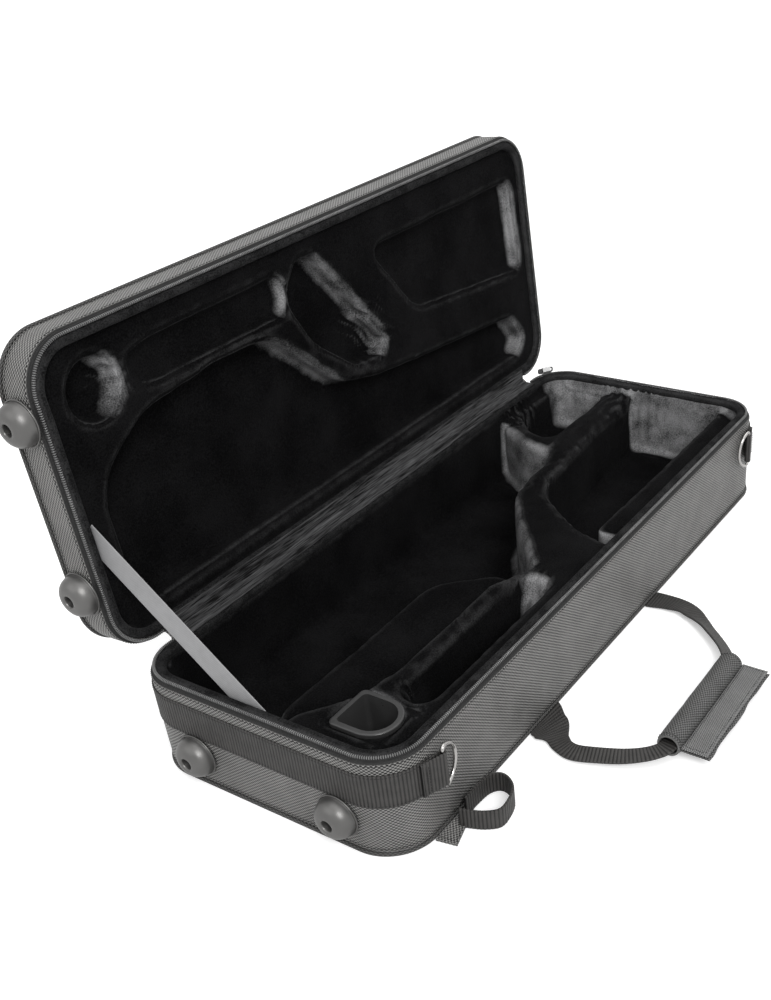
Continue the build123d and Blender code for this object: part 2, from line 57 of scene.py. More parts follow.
# Sizes of the case, from the frame where it holds them
shell_low, shell_high = (Vector(corner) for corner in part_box("base_shell"))
HALF_LENGTH = shell_high.x
HALF_WIDTH = shell_high.y
RIM_DROP = 0.007
BASE_HEIGHT = shell_high.z + RIM_DROP
LID_HEIGHT = 0.047
CORNER = 0.052
RIM_GAP = 0.0006
WALL = 0.008

joints = {joint["name"]: joint for joint in frame["joints"]}
HINGE = Vector(joints["lid_hinge"]["pos_m"])
OPEN_ANGLE = radians(joints["lid_hinge"]["range_deg"][1])

# Places: each half is modelled with its rim at z = 0 and its body below
HERE = Matrix.Identity(4)
UP = Vector((0, 0, 1))
BASE_PLACE = Matrix.Translation((0, 0, BASE_HEIGHT))
SHUT_LID = Matrix.Translation((0, 0, BASE_HEIGHT + RIM_GAP)) @ Matrix.Rotation(pi, 4, "Y")
OPENING = Matrix.Translation(HINGE) @ Matrix.Rotation(-OPEN_ANGLE, 4, "X") @ Matrix.Translation(-HINGE)
LID_PLACE = OPENING @ SHUT_LID

# The outline of the case, measured from the middle of the hinge side, anticlockwise from above
STRAIGHT_X = HALF_LENGTH - CORNER
STRAIGHT_Y = HALF_WIDTH - CORNER
ARC = pi / 2 * CORNER
OUTLINE_LENGTH = 4 * (STRAIGHT_X + STRAIGHT_Y + ARC)
LEFT_END = STRAIGHT_X
FRONT = LEFT_END + ARC + 2 * STRAIGHT_Y + ARC
RIGHT_END = FRONT + 2 * STRAIGHT_X
ZIP_SHORT_OF_CORNER = 0.008
ZIP_STOP = STRAIGHT_X - ZIP_SHORT_OF_CORNER
ZIP_RUN = (ZIP_STOP, OUTLINE_LENGTH - ZIP_STOP)
TRIM_STEP = 0.004


def outline_at(s):
    """Point and outward normal of the outline, s metres along it."""
    s %= OUTLINE_LENGTH
    place = Vector((0, HALF_WIDTH))
    out = Vector((0, 1))
    for leg in (STRAIGHT_X, 2 * STRAIGHT_Y, 2 * STRAIGHT_X, 2 * STRAIGHT_Y, STRAIGHT_X):
        along = Vector((-out.y, out.x))
        if s <= leg:
            break
        s -= leg
        centre = place + along * leg - out * CORNER
        if s <= ARC:
            turned = Matrix.Rotation(s / CORNER, 2) @ out
            return centre + turned * CORNER, turned
        s -= ARC
        out = along
        place = centre + out * CORNER
    return place + along * s, out


def steps(start, end, step):
    """Evenly spaced values from start to end, at most a step apart."""
    count = max(2, ceil((end - start) / step))
    return [start + (end - start) * k / count for k in range(count + 1)]


# Meshes


def new_object(name, data):
    made = bpy.data.objects.new(name, data)
    bpy.context.collection.objects.link(made)
    return made


def add_piece(name, mesh_data, material, body, place=HERE, replaces=(), sharp=45):
    """Makes an object that rides on a body; mesh_data is vertices, faces and each face's UVs."""
    verts, faces, uvs = mesh_data
    mesh = bpy.data.meshes.new(name)
    mesh.from_pydata([place @ Vector(v) for v in verts], [], faces)
    layer = mesh.uv_layers.new(name="metres")
    for face, corners in zip(mesh.polygons, uvs):
        for loop, uv in zip(face.loop_indices, corners):
            layer.data[loop].uv = uv
    solid = bmesh.new()
    solid.from_mesh(mesh)
    bmesh.ops.recalc_face_normals(solid, faces=solid.faces)
    solid.to_mesh(mesh)
    solid.free()
    mesh.materials.append(material)
    mesh.polygons.foreach_set("use_smooth", [True] * len(mesh.polygons))
    mesh.set_sharp_from_angle(angle=radians(sharp))
    piece = new_object(name, mesh)
    if body:
        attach(piece, body)
    if replaces:
        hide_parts(*replaces)
    return piece


def applied(piece):
    """A piece's mesh with its modifiers worked in; the piece loses them."""
    mesh = bpy.data.meshes.new_from_object(piece.evaluated_get(bpy.context.evaluated_depsgraph_get()))
    piece.modifiers.clear()
    return mesh


SIMULATED_FRAMES = 12
SIMULATION_QUALITY = 3
CLOTH_MASS = 0.2
PRESSURE = 4.0


def swollen(piece, reach):
    """Swells a padded piece as cloth under pressure; no point moves further than reach(place)."""
    places = [vertex.co.copy() for vertex in piece.data.vertices]
    cloth = piece.modifiers.new("cloth", "CLOTH")
    cloth.settings.use_pressure = True
    cloth.settings.uniform_pressure_force = PRESSURE
    cloth.settings.effector_weights.gravity = 0
    cloth.settings.mass = CLOTH_MASS
    cloth.settings.quality = SIMULATION_QUALITY
    cloth.point_cache.frame_start = 1
    cloth.point_cache.frame_end = SIMULATED_FRAMES
    for number in range(1, SIMULATED_FRAMES + 1):
        bpy.context.scene.frame_set(number)
    after = piece.evaluated_get(bpy.context.evaluated_depsgraph_get()).data
    moved = []
    for place, vertex in zip(places, after.vertices):
        move = vertex.co - place
        limit = reach(place)
        if move.length > limit:
            move = move.normalized() * limit
        moved.extend(place + move)
    piece.modifiers.clear()
    piece.data.vertices.foreach_set("co", moved)
    piece.data.update()
    bpy.context.scene.frame_set(1)


def merged(*parts):
    """Several mesh_data as one."""
    verts, faces, uvs = [], [], []
    for part_verts, part_faces, part_uvs in parts:
        start = len(verts)
        verts += part_verts
        faces += [[start + index for index in face] for face in part_faces]
        uvs += part_uvs
    return verts, faces, uvs


def grid(rings, ring_s, ring_t, closed_run, closed_ring):
    """Skins rings of points and caps the ends of a tube.

    ring_s is each ring's place along, ring_t each point's place round.
    """
    size = len(rings[0])
    verts = [point for ring in rings for point in ring]
    faces, uvs = [], []
    around = size if closed_ring else size - 1
    along = len(rings) if closed_run else len(rings) - 1
    for k in range(along):
        following = (k + 1) % len(rings)
        s0, s1 = ring_s[k], ring_s[k + 1]
        for j in range(around):
            beside = (j + 1) % size
            faces.append([k * size + j, following * size + j, following * size + beside, k * size + beside])
            t0, t1 = ring_t[j], ring_t[j + 1]
            uvs.append([(s0, t0), (s1, t0), (s1, t1), (s0, t1)])
    if closed_ring and not closed_run:
        for first in (0, (len(rings) - 1) * size):
            faces.append([first + j for j in range(size)])
            uvs.append([(0, 0)] * size)
    return verts, faces, uvs


def blank(faces):
    """UVs for faces whose finish needs none."""
    return [[(0, 0)] * len(face) for face in faces]


def lengths(points, closed):
    """Distance along a line at each of its points, and back at the first one if it is closed."""
    total = [0.0]
    follow = points[1:] + points[:1] if closed else points[1:]
    for here, there in zip(points, follow):
        total.append(total[-1] + (Vector(there) - Vector(here)).length)
    return total


def sweep(run, profile, closed_run=False, closed_profile=True, shift=None):
    """Carries a section of (inset, height) points along stations of the outline."""
    rings = []
    for s in run:
        point, out = outline_at(s)
        ring = []
        for j, (inset, height) in enumerate(profile):
            if shift:
                more, up = shift(s, j)
                inset, height = inset + more, height + up
            ring.append((point.x - out.x * inset, point.y - out.y * inset, height))
        rings.append(ring)
    ring_s = list(run) + [run[-1] + (run[1] - run[0])]
    ring_t = lengths([(a, b, 0) for a, b in profile], closed_profile)
    return grid(rings, ring_s, ring_t, closed_run, closed_profile)


def flat_uvs(mesh_data):
    """UVs of flat-lying faces taken from x and y instead of from the run."""
    verts, faces, uvs = mesh_data
    for index, face in enumerate(faces):
        corners = [Vector(verts[k]) for k in face]
        normal = (corners[1] - corners[0]).cross(corners[2] - corners[0])
        if len(face) > 4 or (normal.length > 0 and abs(normal.normalized().z) > 0.8):
            uvs[index] = [(corner.x, corner.y) for corner in corners]
    return verts, faces, uvs


SPLINE_STEPS = 24


def smooth_path(points, step):
    """Evenly spaced points of a Catmull-Rom curve through the given ones."""
    ends = [2 * points[0] - points[1], *points, 2 * points[-1] - points[-2]]
    fine = []
    for a, b, c, d in zip(ends, ends[1:], ends[2:], ends[3:]):
        for k in range(SPLINE_STEPS):
            t = k / SPLINE_STEPS
            bend = (2 * a - 5 * b + 4 * c - d) * t * t
            fine.append(0.5 * (2 * b + (c - a) * t + bend + (3 * b - a - 3 * c + d) * t**3))
    fine.append(points[-1])
    far = lengths(fine, False)
    path, k = [], 0
    for s in steps(0, far[-1], step):
        while k < len(far) - 2 and far[k + 1] < s:
            k += 1
        span = far[k + 1] - far[k]
        path.append(fine[k].lerp(fine[k + 1], (s - far[k]) / span if span else 0))
    return path


STRIP_EDGE = 0.0006


def flat_section(width, thickness):
    """Points (across, out) of a flat strip with rounded edges."""
    half, deep = width / 2, thickness / 2
    turn = half - STRIP_EDGE * 0.3
    side = [(half - STRIP_EDGE, deep), (turn, deep * 0.75), (half, 0), (turn, -deep * 0.75)]
    inner = [(x * half, -deep) for x in (0.8, 0.4, 0, -0.4, -0.8)]
    right = side + [(half - STRIP_EDGE, -deep)] + inner
    left = [(-x, -y) for x, y in side] + [(-half + STRIP_EDGE, deep)]
    return right + left + [(x * half, deep) for x in (-0.8, -0.4, 0, 0.4, 0.8)]


def heading(path, k):
    """The way a path runs at its point k, not of unit length."""
    return path[min(k + 1, len(path) - 1)] - path[max(k - 1, 0)]


def ribbon(path, across, width, thickness, rib_pitch=0.0, rib_height=0.0, widths=None):
    """A strip along a path; across is its width direction or a list of them, widths a list too."""
    rings = []
    run = lengths(path, False)
    for k, point in enumerate(path):
        side = across[k] if isinstance(across, list) else across
        out = heading(path, k).normalized().cross(side).normalized()
        swell = rib_height * abs(sin(pi * run[k] / rib_pitch)) if rib_pitch else 0
        here = widths[k] if widths else width
        ring = []
        for a, n in flat_section(here, thickness):
            n += swell * (1 if n > 0 else -1 if n < 0 else 0)
            ring.append(point + side * a + out * n)
        rings.append(ring)
    ring_t = lengths([(a, n, 0) for a, n in flat_section(width, thickness)], True)
    return grid(rings, run, ring_t, False, True)


STITCH_PITCH = 0.0034
STITCH_LENGTH = 0.0026
STITCH_RADIUS = 0.0004
STITCH_SIDES = 6
STITCH_RINGS = ((-0.5, 0.35), (-0.3, 0.9), (0, 1.1), (0.3, 0.9), (0.5, 0.35))


def stitches(points, out):
    """A row of thread stitches along a path; out is the surface normal or a list of them."""
    verts, faces = [], []
    far = lengths(points, False)
    k = 0
    for n in range(int(far[-1] / STITCH_PITCH)):
        s = (n + 0.5) * STITCH_PITCH
        while k < len(far) - 2 and far[k + 1] < s:
            k += 1
        along = (points[k + 1] - points[k]).normalized()
        normal = out[k] if isinstance(out, list) else out
        side = along.cross(normal).normalized()
        centre = points[k].lerp(points[k + 1], (s - far[k]) / (far[k + 1] - far[k]))
        start = len(verts)
        for share, size in STITCH_RINGS:
            sink = STITCH_RADIUS * (0.25 - 2.2 * share * share)
            middle = centre + along * share * STITCH_LENGTH + normal * sink
            for turn in range(STITCH_SIDES):
                angle = 2 * turn * pi / STITCH_SIDES
                spot = side * cos(angle) + normal * sin(angle)
                verts.append(middle + spot * STITCH_RADIUS * size)
        last = start + (len(STITCH_RINGS) - 1) * STITCH_SIDES
        for first in range(start, last, STITCH_SIDES):
            for turn in range(STITCH_SIDES):
                a = first + turn
                b = first + (turn + 1) % STITCH_SIDES
                faces.append([a, b, b + STITCH_SIDES, a + STITCH_SIDES])
        for first in (start, last):
            faces.append([first + turn for turn in range(STITCH_SIDES)])
    return verts, faces, blank(faces)


def seams(points):
    """Straight rows of stitches from point to point on a level surface."""
    return merged(*(stitches([a, b], UP) for a, b in zip(points, points[1:])))


# Materials


def feed(made, inputs):
    """Sets inputs of a node to constants or sockets, by socket name or by place such as i0."""
    for key, value in inputs.items():
        socket = made.inputs[int(key[1:])] if key[0] == "i" and key[1:].isdigit() else made.inputs[key]
        if isinstance(value, bpy.types.NodeSocket):
            made.id_data.links.new(value, socket)
        else:
            socket.default_value = value


def node(tree, kind, settings=None, **inputs):
    made = tree.nodes.new(kind)
    for key, value in (settings or {}).items():
        setattr(made, key, value)
    feed(made, inputs)
    return made.outputs[0]


def new_material(name, roughness, metallic=0.0):
    material = bpy.data.materials.new(name)
    material.use_nodes = True
    shader = material.node_tree.nodes["Principled BSDF"]
    feed(shader, {"Roughness": roughness, "Metallic": metallic})
    return material, material.node_tree, shader


def maths(tree, operation, a, b=0.0, c=0.0):
    return node(tree, "ShaderNodeMath", {"operation": operation}, i0=a, i1=b, i2=c)


def mapped(tree, value, low, high, to_low, to_high):
    """Maps low to to_low and high to to_high, clamped between them."""
    return node(tree, "ShaderNodeMapRange", i0=value, i1=low, i2=high, i3=to_low, i4=to_high)


def ramp(tree, fac, stops):
    """Colour by value; stops are (value, colour) pairs."""
    made = tree.nodes.new("ShaderNodeValToRGB")
    tree.links.new(fac, made.inputs[0])
    for element, (place, value) in zip(made.color_ramp.elements, (stops[0], stops[-1])):
        element.position = place
        element.color = (*value, 1)
    for place, value in stops[1:-1]:
        element = made.color_ramp.elements.new(place)
        element.color = (*value, 1)
    return made.outputs[0]


def bump(tree, shader, height, distance, strength=1.0):
    made = node(tree, "ShaderNodeBump", Height=height, Distance=distance, Strength=strength)
    feed(shader, {"Normal": made})


def surface(tree, kind):
    """The place on the surface in metres, from its UVs or from the frame, as Object."""
    return tree.nodes.new("ShaderNodeTexCoord").outputs[kind]


def split(tree, place):
    parts = tree.nodes.new("ShaderNodeSeparateXYZ")
    tree.links.new(place, parts.inputs[0])
    return parts.outputs[0], parts.outputs[1]


def pillow(tree, value, power):
    """0 at whole numbers, 1 halfway between them."""
    centred = maths(tree, "ABSOLUTE", maths(tree, "MULTIPLY_ADD", maths(tree, "FRACT", value), 2.0, -1.0))
    return maths(tree, "SUBTRACT", 1.0, maths(tree, "POWER", centred, power))


def wave(tree, value, pitch):
    return maths(tree, "COSINE", maths(tree, "MULTIPLY", value, 2 * pi / pitch))


def clouds(tree, place, scale, detail=4.0):
    return node(tree, "ShaderNodeTexNoise", Vector=place, Scale=scale, Detail=detail)


def weave(name, dark, light, length, width, depth, roughness):
    """Basket weave: plump floats in a checked lattice, with worn and fuzzy places; the colour follows the
    floats' height, with painted light on the floats and painted shade in the gaps between them.
    """
    material, tree, shader = new_material(name, roughness)
    place = surface(tree, "UV")
    u, v = split(tree, place)
    lattice = maths(tree, "MULTIPLY", wave(tree, u, 2 * length), wave(tree, v, 2 * width))
    height = maths(tree, "MULTIPLY_ADD", lattice, 0.5, 0.5)
    worn = maths(tree, "MULTIPLY_ADD", clouds(tree, place, 30.0), 0.3, -0.15)
    fleck = maths(tree, "MULTIPLY_ADD", clouds(tree, place, 1300.0), 0.5, -0.25)
    # Painted light and shade: lighter where the floats stand high, darker in the gaps, with random tone
    # added.
    shade = maths(tree, "ADD", height, maths(tree, "ADD", worn, fleck))
    feed(shader, {"Base Color": ramp(tree, shade, [(0.24, dark), (0.78, light)]), "Specular IOR Level": 0.45})
    bump(tree, shader, height, depth)
    return material


YARN_PITCH = 0.0013


def ribbed(name, dark, light, pitch, depth, roughness, across=True):
    """Flat webbing or tape: fine ribs, with the yarn's own grain; the colour follows their height, with
    painted light on the ribs and painted shade in the grooves.
    """
    material, tree, shader = new_material(name, roughness)
    place = surface(tree, "UV")
    u, v = split(tree, place)
    ribs = pillow(tree, maths(tree, "DIVIDE", u if across else v, pitch), 2.0)
    grain = pillow(tree, maths(tree, "DIVIDE", v if across else u, YARN_PITCH), 2.0)
    height = maths(tree, "MULTIPLY_ADD", grain, 0.25, maths(tree, "MULTIPLY", ribs, 0.75))
    # Painted light and shade: lighter on the ribs and grain, darker in the grooves, with random tone added.
    shade = maths(tree, "MULTIPLY_ADD", clouds(tree, place, 90.0), 0.6, maths(tree, "SUBTRACT", height, 0.3))
    feed(shader, {"Base Color": ramp(tree, shade, [(0.15, dark), (0.95, light)]), "Specular IOR Level": 0.3})
    bump(tree, shader, height, depth)
    return material


def velvet(name, dark, light, painted_highlight, sheen, nap_scale=14.0, stretch=(1, 1, 1)):
    """Pile fabric: dark, with patches of painted highlight on rounded edges and on faces turned to the left,
    where the light falls on the pile.
    """
    material, tree, shader = new_material(name, 0.95)
    place = surface(tree, "Object")
    place = node(tree, "ShaderNodeVectorMath", {"operation": "MULTIPLY"}, i0=place, i1=stretch)
    nap = clouds(tree, place, nap_scale, 6.0)
    pile = clouds(tree, place, 650.0, 3.0)
    shade = maths(tree, "MULTIPLY_ADD", pile, 1.3, maths(tree, "SUBTRACT", nap, 0.65))
    cloth = ramp(tree, shade, [(0.3, dark), (0.75, light)])
    # Painted light: faces turned to the left and rounded edges get a lighter colour, as if the light fell on
    # them, broken into patches by noise.
    geometry = tree.nodes.new("ShaderNodeNewGeometry")
    painted_light_on_left_faces = mapped(tree, split(tree, geometry.outputs["Normal"])[0], -0.15, -0.85, 0.0, 1.0)
    painted_crest_highlight = mapped(tree, geometry.outputs["Pointiness"], 0.51, 0.57, 0.0, 0.2)
    highlight_patch_noise = maths(tree, "MULTIPLY_ADD", pile, 0.8, clouds(tree, place, 38.0))
    highlight_patchiness = mapped(tree, highlight_patch_noise, 0.62, 1.1, 0.1, 1.0)
    patches = maths(tree, "MULTIPLY", maths(tree, "MAXIMUM", painted_light_on_left_faces, painted_crest_highlight), highlight_patchiness)
    # The mix paints that highlight colour into the base colour.
    mix = tree.nodes.new("ShaderNodeMix")
    mix.data_type = "RGBA"
    feed(mix, {"i0": patches, "i6": cloth, "i7": (*painted_highlight, 1)})
    feed(shader, {"Base Color": mix.outputs[2], "Sheen Weight": sheen, "Sheen Roughness": 0.6})
    feed(shader, {"Sheen Tint": (0.25, 0.25, 0.26, 1), "Specular IOR Level": 0.03})
    height = maths(tree, "MULTIPLY_ADD", nap, 0.4, maths(tree, "MULTIPLY", pile, 0.6))
    bump(tree, shader, height, 0.0014, 0.8)
    return material


def plain(name, colour, roughness, metallic=0.0, grain=0.0004, wear=0.25):
    """Moulded or plated surface with a faint grain and uneven polish."""
    material, tree, shader = new_material(name, roughness, metallic)
    place = surface(tree, "Object")
    patches = clouds(tree, place, 40.0)
    darker = tuple(value * (1 - wear) for value in colour)
    lighter = tuple(min(1.0, value * (1 + wear)) for value in colour)
    colours = ramp(tree, patches, [(0.3, darker), (0.7, lighter)])
    polish = maths(tree, "MULTIPLY_ADD", clouds(tree, place, 160.0), 0.2, roughness - 0.1)
    feed(shader, {"Base Color": colours, "Roughness": polish})
    bump(tree, shader, clouds(tree, place, 1100.0), grain, 0.4)
    return material


def grey(value):
    return value, value, value


# Fabrics: name, darkest and lightest colour, then sizes in metres
# For the weaves and ribbed cloths, the darkest colour is painted shade in the gaps and grooves and the
# lightest is painted light on the floats and ribs.
nylon = weave(
    "woven_nylon_cloth", grey(0.004), (0.25, 0.246, 0.238),
    length=0.0024, width=0.0018, depth=0.0012, roughness=0.42,
)
grip_nylon = weave(
    "grip_nylon_cloth", grey(0.005), (0.13, 0.13, 0.128),
    length=0.0023, width=0.0016, depth=0.0008, roughness=0.55,
)
flap_nylon = weave(
    "flap_nylon_cloth", grey(0.015), (0.24, 0.24, 0.238),
    length=0.0014, width=0.0012, depth=0.0005, roughness=0.55,
)
piping_cloth = weave(
    "piping_cloth", grey(0.004), (0.085, 0.083, 0.08),
    length=0.0023, width=0.0015, depth=0.0007, roughness=0.55,
)
tape_cloth = ribbed(
    "zip_tape_cloth", grey(0.004), grey(0.03), pitch=0.0014, depth=0.0003, roughness=0.8, across=False
)
webbing = ribbed(
    "webbing_cloth", grey(0.003), (0.05, 0.048, 0.046), pitch=0.0038, depth=0.0006, roughness=0.5
)
ribbon_cloth = ribbed(
    "stay_ribbon_cloth", (0.2, 0.2, 0.204), (0.31, 0.31, 0.315), pitch=0.0012, depth=0.0001, roughness=0.7
)
# The third colour of each pile fabric below is its painted highlight.
plush = velvet(
    "plush_cloth", (0.0008, 0.0008, 0.0009), (0.0065, 0.0065, 0.0068), painted_highlight=(0.32, 0.32, 0.325), sheen=0.03
)
velour = velvet(
    "velour_cloth", (0.004, 0.004, 0.0042), (0.024, 0.024, 0.0245),
    painted_highlight=(0.05, 0.05, 0.051), sheen=0.05, nap_scale=60.0,
)
hinge_velour_cloth = velvet(
    "hinge_velour_cloth", grey(0.005), (0.085, 0.085, 0.087),
    painted_highlight=grey(0.06), sheen=0.06, nap_scale=90.0, stretch=(0.06, 1, 1),
)
coil_plastic = plain("coil_plastic", grey(0.13), 0.25)
foot_plastic = plain("foot_plastic", (0.13, 0.128, 0.125), 0.4, metallic=0.8, grain=0.0001, wear=0.1)
cup_plastic = plain("cup_plastic", grey(0.034), 0.32, grain=0.00004, wear=0.1)
thread = plain("thread", grey(0.004), 0.7)
grip_thread = plain("grip_thread", grey(0.006), 0.7)
ring_metal = plain("ring_metal", (0.42, 0.41, 0.4), 0.16, metallic=1.0, grain=0.0001, wear=0.1)
slider_metal = plain("slider_metal", grey(0.35), 0.35, metallic=0.8, grain=0.0001, wear=0.15)
screw_metal = plain("screw_metal", grey(0.012), 0.5, metallic=0.5)

# CAD nodes that stay in view, and their finish
PAINTED = {
    "mouthpiece_cup": cup_plastic,
    "d_ring_left": ring_metal,
    "d_ring_right": ring_metal,
    "zip_slider": slider_metal,
    "zip_pull": slider_metal,
}
for name, material in PAINTED.items():
    shown = frame["nodes"][name].data
    shown.materials.clear()
    shown.materials.append(material)

# The two halves

SKIN_STEP = 0.006
ROUND_BELOW = 0.008
SIDE_COUNT = 8
SIDE_HOLLOW = 0.0004


def cover_profile(height):
    """Tray section from the middle of the underside out, over the rim and in to the floor."""
    low, top = -height, -RIM_DROP
    outside = [(0.05, low), (0.03, low), (0.012, low), (0.0062, low + 0.0002), (0.0052, low + 0.0008)]
    outside += [(0.0018, low + 0.0042), (0.0004, low + 0.0056), (0, low + ROUND_BELOW)]
    for k in range(1, SIDE_COUNT):
        rise = low + ROUND_BELOW + (top - low - 0.010) * k / SIDE_COUNT
        outside.append((-SIDE_HOLLOW * sin(pi * k / SIDE_COUNT), rise))
    outside += [(0, top - 0.0016), (0.0005, top - 0.0005), (0.0016, top)]
    inside = [(WALL - 0.001, top), (WALL, top - 0.001), (WALL, low + 0.012)]
    return outside + inside + [(0.02, low + WALL), (0.05, low + WALL)]


def cover(height):
    run = steps(0, OUTLINE_LENGTH, SKIN_STEP)[:-1]
    profile = cover_profile(height)
    verts, faces, uvs = sweep(run, profile, True, False)
    size = len(profile)
    for end in (0, size - 1):
        faces.append([k * size + end for k in range(len(run))])
        uvs.append([(0, 0)] * len(run))
    return flat_uvs((verts, faces, uvs))


def tape():
    face = [(0.0003, -0.0070), (0.0013, -0.0062), (0.0017, -0.0064), (0.0026, -0.0050), (0.0030, -0.0052)]
    face += [(0.0038, -0.0038), (0.0042, -0.0033)]
    back = [(0.0052, -0.0036), (0.0022, -0.0072)]
    return sweep(steps(*ZIP_RUN, TRIM_STEP), face + back)


COIL_PITCH = 0.0023
COIL_INSET = 0.0043
COIL_HEIGHT = -0.0018
TOOTH_RINGS = ((-0.24, 0.8), (0, 1.0), (0.24, 0.8))
CORE_RADIUS = 0.0011
CORE_HEIGHT = -0.0019


def coil():
    """The open half of a coil zip: a rank of separate teeth."""
    start, end = ZIP_RUN
    verts, faces = [], []
    loop = [(0.0026, -0.0028), (0.0026, -0.0014), (0.0032, -0.0004), (0.0046, -0.0001)]
    loop += [(0.0056, -0.0006), (0.0059, -0.0016), (0.0056, -0.0028), (0.0042, -0.0034)]
    size = len(loop)
    for n in range(int((end - start) / COIL_PITCH)):
        first = len(verts)
        for share, scale in TOOTH_RINGS:
            point, out = outline_at(start + (n + 0.5 + share) * COIL_PITCH)
            for inset, height in loop:
                inset = COIL_INSET + (inset - COIL_INSET) * scale
                height = COIL_HEIGHT + (height - COIL_HEIGHT) * scale
                verts.append((point.x - out.x * inset, point.y - out.y * inset, height))
        for ring in (0, size):
            for j in range(size):
                a, b = first + ring + j, first + ring + (j + 1) % size
                faces.append([a, b, b + size, a + size])
        for ring in (0, 2 * size):
            faces.append([first + ring + j for j in range(size)])
    return verts, faces, blank(faces)


def coil_core():
    """The dark cord that the teeth are sewn to."""
    core = []
    for k in range(8):
        angle = k * pi / 4
        core.append((COIL_INSET + CORE_RADIUS * cos(angle), CORE_HEIGHT + CORE_RADIUS * sin(angle)))
    return sweep(steps(*ZIP_RUN, TRIM_STEP), core)


BINDING_STEP = 0.005
BINDING_SIDES = 16
BINDING_INSET = 0.0113
BINDING_HEIGHT = -0.0042


def binding():
    """Velour roll along the rim, a little uneven by hand sewing, with a skirt below it."""
    section = []
    for k in range(BINDING_SIDES):
        angle = 2 * pi * k / BINDING_SIDES
        across = BINDING_INSET + 0.0050 * cos(angle)
        up = BINDING_HEIGHT + 0.0038 * sin(angle)
        section.append((across, up - (0.0035 if sin(angle) < -0.3 else 0)))

    def uneven(s, j):
        point, out = outline_at(s)
        spot = Vector((point.x, point.y, j * 0.004)) * 40
        return 0.0004 * noise.noise(spot), 0.0003 * noise.noise(spot + Vector((9, 9, 9)))

    return sweep(steps(0, OUTLINE_LENGTH, BINDING_STEP)[:-1], section, True, True, uneven)


CORD_RADIUS = 0.0022


def piping(height):
    """Cord in the outer seam."""
    section = []
    for k in range(12):
        angle = k * pi / 6
        section.append((0.0004 + CORD_RADIUS * cos(angle), 0.0023 - height + CORD_RADIUS * sin(angle)))
    return sweep(steps(0, OUTLINE_LENGTH, TRIM_STEP)[:-1], section, True)


THREAD_STEP = 0.002
THREAD_LIFT = 0.0001
ROW_FROM_EDGE = 0.0092


def outline_row(start, end, step, lift, height):
    """Points that follow the outline, lifted off the wall, and their outward normals."""
    points, normals = [], []
    for s in steps(start, end, step):
        point, out = outline_at(s)
        points.append(Vector((point.x + out.x * lift, point.y + out.y * lift, height)))
        normals.append(Vector((out.x, out.y, 0)))
    return points, normals


for half, height, place in (("base", BASE_HEIGHT, BASE_PLACE), ("lid", LID_HEIGHT, LID_PLACE)):
    add_piece(half + "_cover", cover(height), nylon, half, place, [half + "_shell"], 60)
    seam = stitches(*outline_row(0, OUTLINE_LENGTH, THREAD_STEP, THREAD_LIFT, ROW_FROM_EDGE - height))
    add_piece(half + "_seam_stitching", seam, thread, half, place)
    add_piece(half + "_piping_cord", piping(height), piping_cloth, half, place, [half + "_piping"])
    add_piece(half + "_tape", tape(), tape_cloth, half, place, [half + "_zip_tape"])
    add_piece(half + "_coil", coil(), coil_plastic, half, place, [half + "_zip_coil"])
    add_piece(half + "_coil_core", coil_core(), thread, half, place)
    replaced = [half + "_rim_binding"]
    roll = add_piece(half + "_binding", binding(), velour, half, place, replaced)
    row = stitches(*outline_row(*ZIP_RUN, THREAD_STEP, THREAD_LIFT, -ROW_FROM_EDGE))
    add_piece(half + "_rim_stitching", row, thread, half, place)


# Plush-covered foam

BASE_FOAM = ["base_floor_pad", "base_wall_lining", "front_foam_block", "partition_foam_block"]
BASE_FOAM += ["corner_foam_block", "ledge_foam_block", "body_shelf_foam"]
FOAM_VOXEL = 0.004

# Gathers of the plush: place, reach, direction across the pleats
BASE_GATHERS = [
    ((0.300, 0.135, 0.090), 0.045, (0.9, 0.4, 0.0)),
    ((-0.075, -0.110, 0.085), 0.032, (0.1, 1.0, 0.0)),
    ((-0.300, -0.105, 0.080), 0.030, (1.0, 0.2, 0.0)),
    ((0.395, 0.020, 0.085), 0.060, (0.0, 1.0, 0.0)),
]
LID_GATHERS = [
    ((0.060, 0.200, 0.300), 0.050, (0.6, 0.0, 0.8)),
    ((-0.330, 0.205, 0.385), 0.030, (0.3, 0.0, 1.0)),
]
PLEAT_PITCH = 0.011
PLEAT_DEPTH = 0.0014


def relaxed(place, gathers):
    """How far the covering fabric lifts off the foam at a place."""
    lift = 0.0007 * noise.noise(place * 22) + 0.0004 * noise.noise(place * 75)
    for centre, reach, across in gathers:
        near = max(0.0, 1 - (place - Vector(centre)).length / reach)
        if near:
            phase = place.dot(Vector(across).normalized()) / PLEAT_PITCH + 0.8 * noise.noise(place * 30)
            lift += PLEAT_DEPTH * min(1.0, 2 * near) * sin(2 * pi * phase)
    return lift


FOAM_SWELL = 0.003
FREE_EDGE = 0.010
FLOOR_MARGIN = 0.002
ROLL_DEPTH = 0.011
CUP_MARGIN = 0.004
cup_low, cup_high = (Vector(corner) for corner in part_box("mouthpiece_cup"))


def foam_reach(place, half_place, height):
    """How far the foam may swell at a place: nowhere near the shell, the rim roll or the cup."""
    spot = half_place.inverted() @ place
    from_ends = HALF_LENGTH - WALL - FREE_EDGE - abs(spot.x)
    from_sides = HALF_WIDTH - WALL - FREE_EDGE - abs(spot.y)
    room = min(from_ends, from_sides, spot.z + height - WALL - FLOOR_MARGIN, -ROLL_DEPTH - spot.z)
    for low, value, high in zip(cup_low, place, cup_high):
        if not low - CUP_MARGIN < value < high + CUP_MARGIN:
            return max(0.0, min(FOAM_SWELL, room))
    return 0.0


DEEP_LEVEL = 0.07
DEEP_BLEND = 0.02


